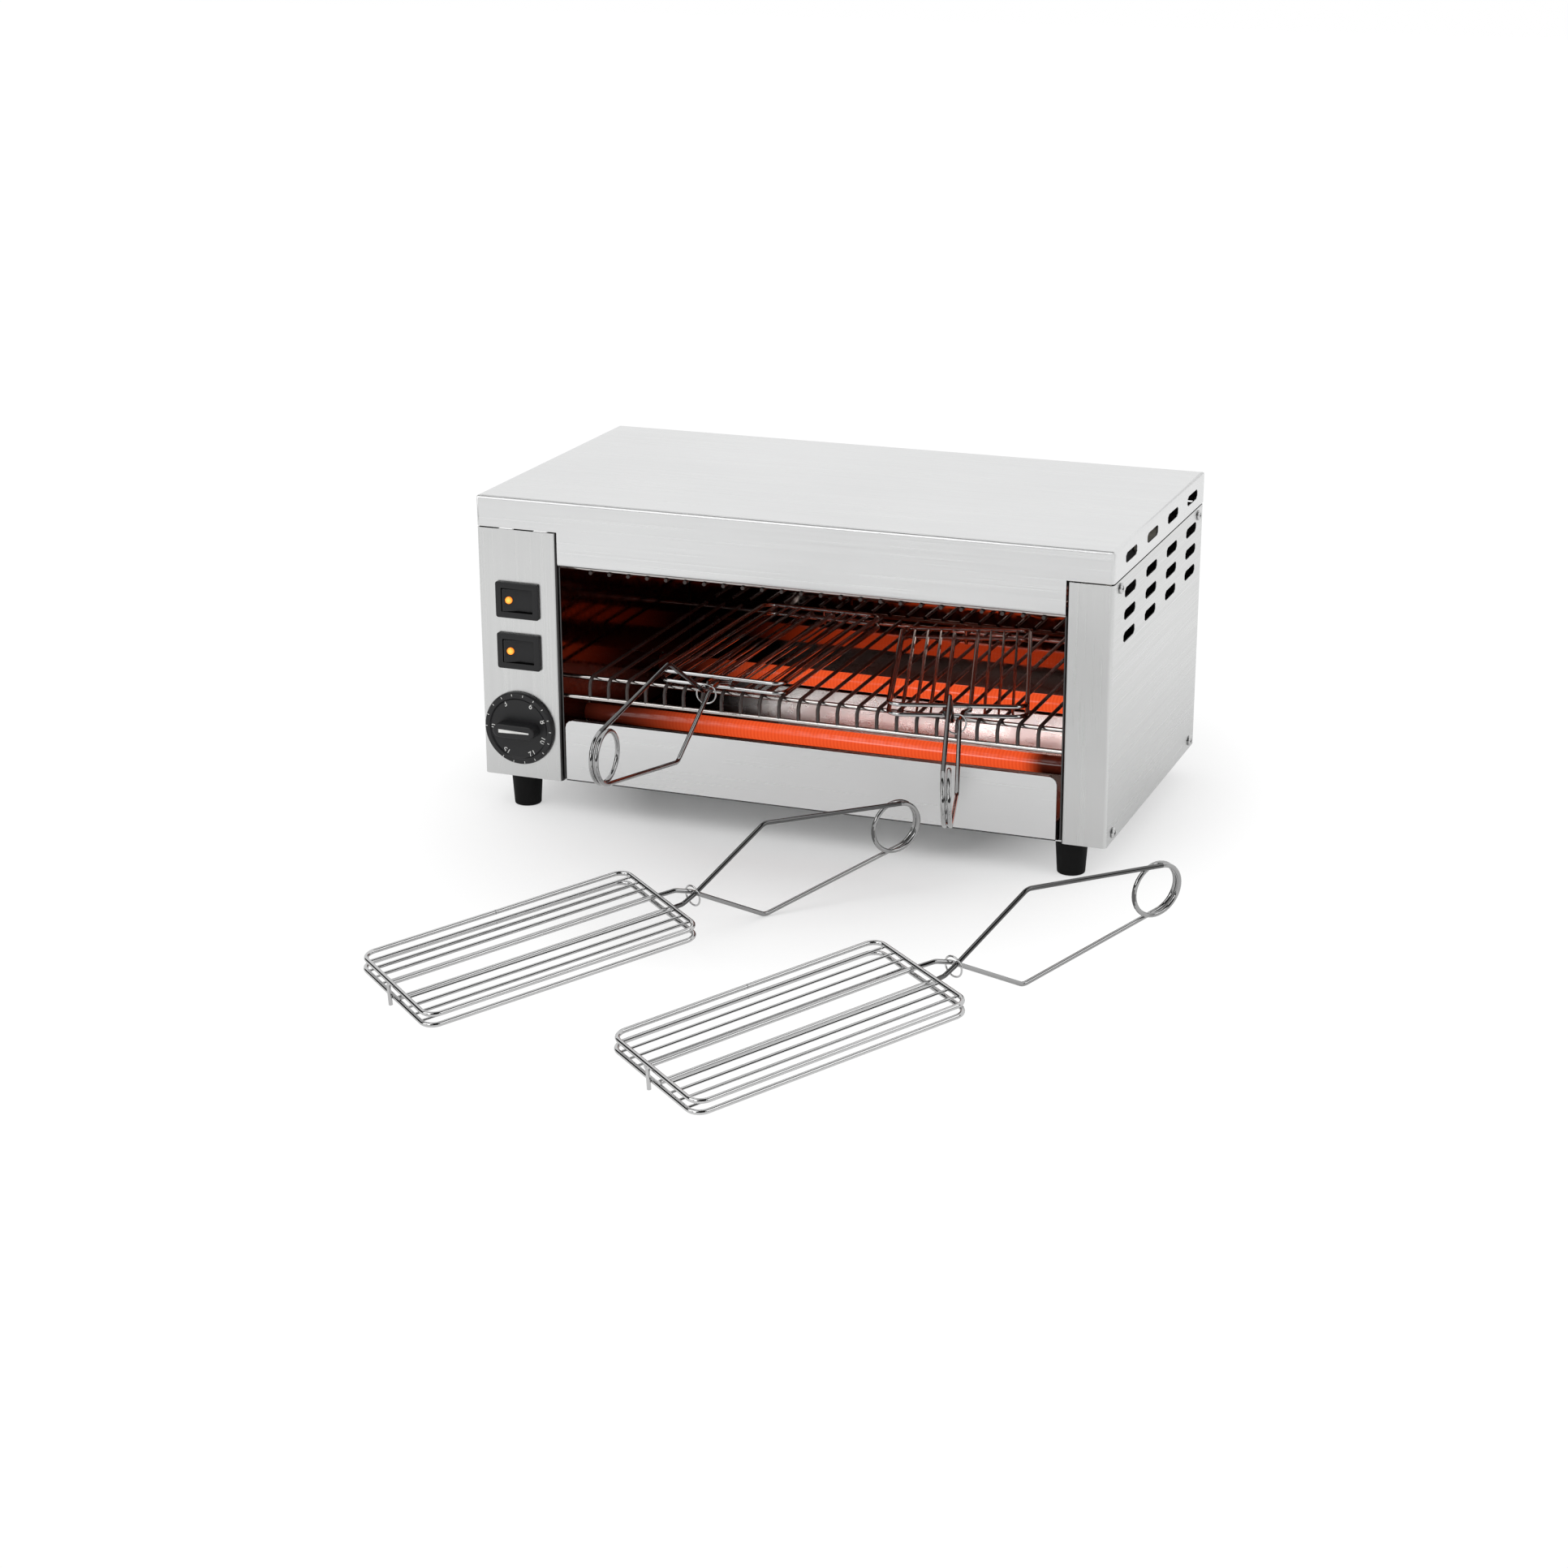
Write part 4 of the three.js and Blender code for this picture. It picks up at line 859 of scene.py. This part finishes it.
# the rocker switches; a rocker is drawn from above, with its face to the front
switch = {
    "width": 30.8, "height": 24.2, "bezel": 2, "corner": 1.6, "bezelEdge": 0.5, "rim": 2.6,
    "gap": 0.3, "wall": 1.2, "depth": 22, "tubCorner": 0.8, "tubEdge": 0.3, "pocket": 9, "pocketCorner": 0.5,
    "cutOver": 4, "rockerGap": 0.4, "rockerEdge": 0.45, "arcSteps": 8, "flank": 3, "valley": 1.2, "keel": 4.4,
    "tilt": 8, "lampRadius": 2.4, "lampOffset": 6.2, "lampPocket": 1.2, "lampProud": 0.7,
    "lampCut": 8, "domeSteps": 8, "holeSides": 32, "lampSides": 36, "smooth": 30, "lampSmooth": 60,
}
housingWidth = switch["width"] - 2 * switch["rim"] - 2 * switch["gap"]
housingHeight = switch["height"] - 2 * switch["rim"] - 2 * switch["gap"]
pocketWidth, pocketHeight = housingWidth - 2 * switch["wall"], housingHeight - 2 * switch["wall"]
rockerReach = pocketWidth / 2 - switch["rockerGap"]
flankAngle = math.asin(switch["flank"] / rockerReach)
atLamp = Matrix.Translation((-switch["lampOffset"] * mm, 0, 0)) @ frontward


def rockerFace(x):
    rise = switch["flank"] - switch["valley"]
    return switch["valley"] + rise * abs(x) / (rockerReach * math.cos(flankAngle))


def switchHousing(centre):
    front = switch["gap"] + switch["bezel"]
    bezel = extrudedOutline(roundedOutline(switch["width"], switch["height"], switch["corner"]),
                            switch["gap"], front, switch["bezelEdge"])
    tub = extrudedOutline(roundedOutline(housingWidth, housingHeight, switch["tubCorner"]),
                          -switch["depth"], switch["gap"] + switch["bezel"] / 2, switch["tubEdge"])
    pocket = extrudedOutline(roundedOutline(pocketWidth, pocketHeight, switch["pocketCorner"]),
                             -switch["pocket"], switch["bezel"] + switch["cutOver"], 0)
    matrix = Matrix.Translation(centre) @ frontward
    return [moved(cutAway(mesh, [pocket.copy()]), matrix) for mesh in (bezel, tub)]


def rockerMesh(matrix):
    points = []
    for base, inner in ((0, switch["keel"]), (180, -switch["valley"])):
        for step in range(switch["arcSteps"] + 1):
            angle = math.radians(base) + flankAngle * (step / (switch["arcSteps"] / 2) - 1)
            points.append(onCircle(rockerReach, angle))
        points.append((0, inner))
    half = pocketHeight / 2 - switch["rockerGap"]
    body = extrudedOutline(points, -half, half, switch["rockerEdge"])
    floor = switch["lampPocket"] - rockerFace(switch["lampOffset"])
    hole = rodProfile(switch["lampRadius"] + switch["gap"], -floor, switch["lampCut"])
    hole = lathe(hole, switch["holeSides"], atLamp)
    return moved(cutAway(body, [hole]), matrix)


def lampMesh(matrix):
    face = rockerFace(switch["lampOffset"])
    base, crown = face - switch["lampPocket"] + switch["gap"], face + switch["lampProud"]
    dome = [(0, base), (switch["lampRadius"], base), (switch["lampRadius"], crown - switch["lampProud"])]
    for step in range(1, switch["domeSteps"]):
        angle = math.pi / (2 * switch["domeSteps"]) * step
        height = crown - switch["lampProud"] * (1 - math.sin(angle))
        dome.append((switch["lampRadius"] * math.cos(angle), height))
    dome.append((0, crown))
    return lathe(dome, switch["lampSides"], matrix @ atLamp)


for number in (1, 2):
    low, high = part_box(f"switch_housing_{number}")
    centre = Vector(((low.x + high.x) / 2, bodyCorner.y, (low.z + high.z) / 2))
    addPiece(f"switchHousing{number}", switchHousing(centre), "oven_body",
             [f"switch_housing_{number}"], finishes["black"], switch["smooth"])
    pivot = Vector(joints[f"switch_{number}_rock"]["pos_m"])
    matrix = Matrix.Translation(pivot) @ Matrix.Rotation(math.radians(switch["tilt"]), 4, "Z")
    addPiece(f"switchRocker{number}", [rockerMesh(matrix)], f"rocker_{number}",
             [f"switch_rocker_{number}"], finishes["black"], switch["smooth"])
    addPiece(f"switchLamp{number}", [lampMesh(matrix)], f"rocker_{number}",
             [f"switch_lamp_{number}"], finishes["lamp"], switch["lampSmooth"])
print("switches: 2")

# the timer's knob, a dial with a grip across it; its marks are painted on
knob = {
    "x": 27, "z": 34.3, "gap": 0.5, "radius": 25, "edge": 1.2, "rim": 3.2, "slope": 1, "rimWidth": 4,
    "dish": 2.2, "dialRound": 0.4, "dialSides": 96, "smooth": 32,
    "grip": 30, "gripWidth": 9, "gripDepth": 11, "gripEdge": 0.9, "gripSteps": 12,
    "shaft": 3, "shaftBack": 1.5, "shaftFront": 1, "shaftSides": 24,
}
knobMatrix = Matrix.Translation(place(knob["x"], -knob["gap"], knob["z"])) @ frontward
rimInside = knob["radius"] - knob["rimWidth"]
dialProfile = rounded([
    (0, 0), (knob["radius"], 0), (knob["radius"], knob["edge"]),
    (knob["radius"] - knob["slope"], knob["rim"]), (rimInside, knob["rim"]),
    (rimInside - knob["slope"], knob["dish"]), (0, knob["dish"])], knob["dialRound"], steps=3)
dial = lathe(dialProfile, knob["dialSides"], knobMatrix)
gripOutline = []
for way, start in ((1, -90), (-1, 90)):
    for step in range(knob["gripSteps"] + 1):
        angle = math.radians(start + 180 * step / knob["gripSteps"])
        middle = way * (knob["grip"] - knob["gripWidth"]) / 2
        gripOutline.append(onCircle(knob["gripWidth"] / 2, angle, middle))
grip = extrudedOutline(gripOutline, knob["dish"] / 2, knob["gripDepth"], knob["gripEdge"], segments=4)
shaft = rodProfile(knob["shaft"], -knob["shaftBack"], knob["shaftFront"])
shaft = lathe(shaft, knob["shaftSides"], knobMatrix)
addPiece("timerKnob", [dial, moved(grip, knobMatrix), shaft], "timer_knob", ["timer_knob"],
         finishes["knob"], knob["smooth"])

# minutes run clockwise from start; Rise is how proud the paint stands and Depth how far it reaches in
mark = {
    "line": 22, "lineWidth": 2.4, "lineTaper": 5, "lineShift": 0.3, "lineDepth": 0.1, "lineRise": 0.05,
    "ticks": 16, "sweep": 300, "start": 180, "tickRadius": 23.2, "tickX": 0.7, "tickY": 0.22,
    "tickDepth": 0.2, "tickRise": 0.06,
    "numbers": (0, 3, 6, 8, 10, 12, 15), "digit": 5.4, "digitRadius": 18.6, "digitThick": 0.05,
    "digitRise": 0.02, "digitCurve": 3, "smooth": 30,
}


def dialTurn(minute):
    angle = math.radians(mark["start"] - mark["sweep"] * minute / (mark["ticks"] - 1))
    return Matrix.Rotation(angle, 4, "Z")


def pointerMesh():
    tail, tip = -mark["line"] / 2 + mark["lineShift"], mark["line"] / 2 + mark["lineShift"]
    tailY, tipY = mark["lineWidth"] / 2, mark["lineWidth"] / mark["lineTaper"]
    outline = [(tail, -tailY), (tip, -tipY), (tip, tipY), (tail, tailY)]
    low, high = knob["gripDepth"] - mark["lineDepth"], knob["gripDepth"] + mark["lineRise"]
    return moved(extrudedOutline(outline, low, high, 0), knobMatrix)


def tickMesh(minute):
    low, high = knob["rim"] - mark["tickDepth"], knob["rim"] + mark["tickRise"]
    tick = extrudedOutline(rectangle(mark["tickX"], mark["tickY"]), low, high, 0)
    return moved(tick, knobMatrix @ (dialTurn(minute) @ Matrix.Translation((mark["tickRadius"] * mm, 0, 0))))


def digitMesh(minute):
    text = bpy.data.curves.new("digit", "FONT")
    text.body, text.size, text.extrude = str(minute), mark["digit"] * mm, mark["digitThick"] * mm
    text.align_x, text.align_y, text.resolution_u = "CENTER", "CENTER", mark["digitCurve"]
    writing = bpy.data.objects.new("digit", text)
    scene.collection.objects.link(writing)
    graph = bpy.context.evaluated_depsgraph_get()
    digit = bpy.data.meshes.new_from_object(writing.evaluated_get(graph), depsgraph=graph)
    bpy.data.objects.remove(writing)
    out = Matrix.Translation((mark["digitRadius"] * mm, 0, (knob["dish"] + mark["digitRise"]) * mm))
    return moved(digit, knobMatrix @ (dialTurn(minute) @ out) @ Matrix.Rotation(-math.pi / 2, 4, "Z"))


marks = [pointerMesh()]
marks += [tickMesh(minute) for minute in range(mark["ticks"])]
marks += [digitMesh(minute) for minute in mark["numbers"]]
addPiece("knobMarks", marks, "timer_knob", [], finishes["paint"], mark["smooth"])
print("knob: marks", len(marks))

# the side screws, with a domed head and a cross cut into it
screw = {
    "head": 3.4, "edge": 0.5, "rise": 1.7, "gap": 0.3, "shank": 1.7, "length": 5, "domeSteps": 8, "sides": 32,
    "slot": 0.55, "slotReach": 1.9, "slotDepth": 1.0, "cutAbove": 1,
}
domeFoot = screw["gap"] + screw["edge"]
headProfile = [(0, -screw["length"]), (screw["shank"], -screw["length"]), (screw["shank"], screw["gap"]),
               (screw["head"], screw["gap"]), (screw["head"], domeFoot)]
for step in range(1, screw["domeSteps"] + 1):
    angle = math.pi / 2 * step / screw["domeSteps"]
    radius = screw["head"] * math.cos(angle) if step < screw["domeSteps"] else 0
    headProfile.append((radius, domeFoot + (screw["rise"] - screw["edge"]) * math.sin(angle)))
top = screw["gap"] + screw["rise"]
slots = []
for x, y in ((screw["slotReach"], screw["slot"]), (screw["slot"], screw["slotReach"])):
    slots.append(extrudedOutline(rectangle(x, y), top - screw["slotDepth"], top + screw["cutAbove"], 0))
head = cutAway(lathe(headProfile, screw["sides"]), slots)
screwNodes = sorted(node for node in nodes if node.startswith("side_screw"))
points, turns = [], []
for node in screwNodes:
    low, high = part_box(node)
    middle = (low + high) / 2
    left = "_left_" in node
    points.append((bodyCorner.x + (0 if left else housing["width"] * mm), middle.y, middle.z))
    turns += [0, -math.pi / 2 if left else math.pi / 2, 0]
spots = bpy.data.meshes.new("screwSpots")
spots.from_pydata(points, [], [])
spots.attributes.new("turn", "FLOAT_VECTOR", "POINT").data.foreach_set("vector", turns)
spotObject = bpy.data.objects.new("screwSpots", spots)
scene.collection.objects.link(spotObject)
screws = grow(head, trees["points"], {"Points": spotObject, "Material": finishes["screw"]})
bpy.data.objects.remove(spotObject)
addPiece("sideScrews", [screws], "oven_body", screwNodes, finishes["screw"])

# the cable gland: a stem with a dome outside, and a nut on each side of the back panel
gland = {
    "radius": 8, "bore": 3.6, "thread": 3, "dome": 7, "domeDepth": 9, "round": 1.2, "seam": 0.01, "sides": 40,
    "nut": 11, "nutDepth": 5, "nutEdge": 0.6, "nutBore": 7.6, "cutBefore": 1, "cutTo": 6, "boreSides": 32,
    "sheet": 1, "gap": 0.3, "smooth": 32,
}
low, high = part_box("cable_gland")
glandBack = bodyCorner.y + housing["depth"] * mm
glandMatrix = Matrix.Translation(((low.x + high.x) / 2, glandBack, (low.z + high.z) / 2)) @ backward
inside, outside = -gland["sheet"] - gland["gap"] - gland["nutDepth"], gland["gap"] + gland["nutDepth"]
stemFoot, stemTip = inside - gland["thread"], outside + gland["domeDepth"]
stem = lathe(rounded([
    (gland["bore"], stemFoot), (gland["radius"], stemFoot),
    (gland["radius"], outside + gland["domeDepth"] / 2), (gland["dome"], stemTip), (gland["bore"], stemTip),
    (gland["bore"], stemFoot + gland["seam"])], gland["round"]), gland["sides"], glandMatrix)
hexagon = [onCircle(gland["nut"], math.pi / 3 * i + math.pi / 6) for i in range(6)]
nuts = []
for start in (inside, gland["gap"]):
    nut = extrudedOutline(hexagon, start, start + gland["nutDepth"], gland["nutEdge"])
    bore = rodProfile(gland["nutBore"], start - gland["cutBefore"], start + gland["cutTo"])
    bore = lathe(bore, gland["boreSides"])
    nuts.append(moved(cutAway(nut, [bore]), glandMatrix))
addPiece("cableGland", [stem, *nuts], "oven_body", ["cable_gland"], finishes["black"],
         gland["smooth"])

for node, finish in (("timer_body", "black"), ("terminal_block", "nylon")):
    nodes[node].data.materials.clear()
    nodes[node].data.materials.append(finishes[finish])
print("small parts done")

showingRays = ("Is Camera Ray", "Is Glossy Ray", "Is Transmission Ray")
# the floor is lit near the object and shown white away from it; metal shows the lit zone wider
floorLook = {
    "half": 6, "drop": 0.0003, "color": (0.93, 0.93, 0.93), "white": 1.02,
    "centre": (0.19, 0.10, 0), "reach": (0.205, 0.25, 1), "near": 0.06, "far": 1.0,
    "from": 0.62, "to": 1.4, "metal": 1.7,
}


def stageMaterial():
    material = bpy.data.materials.new("paleFloor")
    material.use_nodes = True
    tree = material.node_tree
    tree.nodes.clear()
    diffuse = addNode(tree, "ShaderNodeBsdfDiffuse", [("Color", (*floorLook["color"], 1))])
    glow = addNode(tree, "ShaderNodeEmission", [("Strength", floorLook["white"])])
    path = addNode(tree, "ShaderNodeLightPath")
    away = distanceFrom(tree, floorLook["centre"], floorLook["reach"])
    shares = []
    for ray in showingRays:
        wide = floorLook["metal"] if ray == "Is Glossy Ray" else 1
        white = spread(tree, away, floorLook["near"], floorLook["far"],
                       floorLook["from"] * wide, floorLook["to"] * wide)
        shares.append(combine(tree, "MULTIPLY", path.outputs[ray], white))
    mixed = mixShaders(tree, largest(tree, shares), diffuse.outputs[0], glow.outputs[0])
    output = addNode(tree, "ShaderNodeOutputMaterial")
    tree.links.new(mixed, output.inputs["Surface"])
    return material


def plateMesh(name, halfX, halfY, material):
    mesh = bpy.data.meshes.new(name)
    mesh.from_pydata([(x, y, 0) for x, y in rectangle(halfX, halfY)], [], [(0, 1, 2, 3)])
    mesh.materials.append(material)
    return mesh


floorMesh = plateMesh("floor", floorLook["half"], floorLook["half"], stageMaterial())
floor = bpy.data.objects.new("floor", floorMesh)
floor.location.z = -floorLook["drop"]
scene.collection.objects.link(floor)

# dark cards out of view give the bright wires their dark streaks: place, turn in degrees, size
cardBlack = (0.004, 0.004, 0.004, 1)
cards = {
    "cardLeft": ((-2.8, -0.9, 1.35), (0, 90, 0), (2.6, 3.0)),
    "cardRight": ((3.2, -0.9, 1.35), (0, -90, 0), (2.6, 3.0)),
    "cardFront": ((0.9, -4.0, 1.35), (90, 0, 10), (6.4, 2.6)),
    "cardOver": ((0.5, -1.9, 2.75), (180, 0, 0), (6.4, 4.2)),
}
cardMaterial = bpy.data.materials.new("darkCard")
cardMaterial.use_nodes = True
cardMaterial.node_tree.nodes["Principled BSDF"].inputs["Base Color"].default_value = cardBlack
for name, (spot, turn, size) in cards.items():
    card = bpy.data.objects.new(name, plateMesh(name, size[0] / 2, size[1] / 2, cardMaterial))
    card.location = spot
    card.rotation_euler = Euler([math.radians(v) for v in turn])
    card.visible_camera = card.visible_diffuse = card.visible_shadow = False
    scene.collection.objects.link(card)

# the room is white where a ray shows it, and lights the object less
room = {"light": 0.42, "shown": 1.0}
world = bpy.data.worlds.new("studio")
scene.world = world
world.use_nodes = True
tree = world.node_tree
tree.nodes.clear()
path = addNode(tree, "ShaderNodeLightPath")
shows = largest(tree, [path.outputs[ray] for ray in showingRays])
backgrounds = []
for strength in (room["light"], room["shown"]):
    background = addNode(tree, "ShaderNodeBackground", [("Color", (1, 1, 1, 1)), ("Strength", strength)])
    backgrounds.append(background.outputs[0])
output = addNode(tree, "ShaderNodeOutputWorld")
tree.links.new(mixShaders(tree, shows, *backgrounds), output.inputs["Surface"])

lamps = {
    "keyLight": {"spot": (-0.9, -1.6, 2.0), "aim": (0.2, 0.0, 0.1), "size": 2.0, "power": 20},
    "fillLight": {"spot": (2.1, -0.6, 1.3), "aim": (0.2, 0.0, 0.1), "size": 1.6, "power": 13},
    "topLight": {"spot": (0.2, 0.9, 2.4), "aim": (0.2, 0.0, 0.1), "size": 3.4, "power": 21},
    "trayLight": {"spot": (-0.62, -3.6, 1.3), "aim": (0.3, 0.1, 0.1), "size": 1.0, "power": 13},
}
for name, lamp in lamps.items():
    data = bpy.data.lights.new(name, "AREA")
    data.shape, data.size, data.energy = "SQUARE", lamp["size"], lamp["power"]
    light = bpy.data.objects.new(name, data)
    light.location = lamp["spot"]
    light.rotation_mode = "QUATERNION"
    light.rotation_quaternion = (Vector(lamp["aim"]) - Vector(lamp["spot"])).to_track_quat("-Z", "Y")
    light.visible_glossy = name != "topLight"  # the cover would burn out seen from above
    scene.collection.objects.link(light)

# fitted to the body's corners in the photograph; angles in radians, lens and sensor in millimetres
view = {"spot": (0.847505, -1.70565, 0.664188), "yaw": 0.370756, "pitch": -0.331285, "roll": 0.0042988,
        "lens": 68.588, "sensor": 36}
yaw, pitch, roll = view["yaw"], view["pitch"], view["roll"]
forward = Vector((-math.sin(yaw) * math.cos(pitch), math.cos(yaw) * math.cos(pitch), math.sin(pitch)))
level = Vector((math.cos(yaw), math.sin(yaw), 0))
down = forward.cross(level)
right = level * math.cos(roll) + down * math.sin(roll)
up = right.cross(forward)
camera = bpy.data.objects.new("camera", bpy.data.cameras.new("camera"))
camera.data.lens, camera.data.sensor_width = view["lens"], view["sensor"]
matrix = Matrix((right, up, -forward)).transposed().to_4x4()
matrix.translation = Vector(view["spot"])
camera.matrix_world = matrix
scene.collection.objects.link(camera)
scene.camera = camera
scene.view_settings.view_transform = "Standard"
print("camera and lights set")
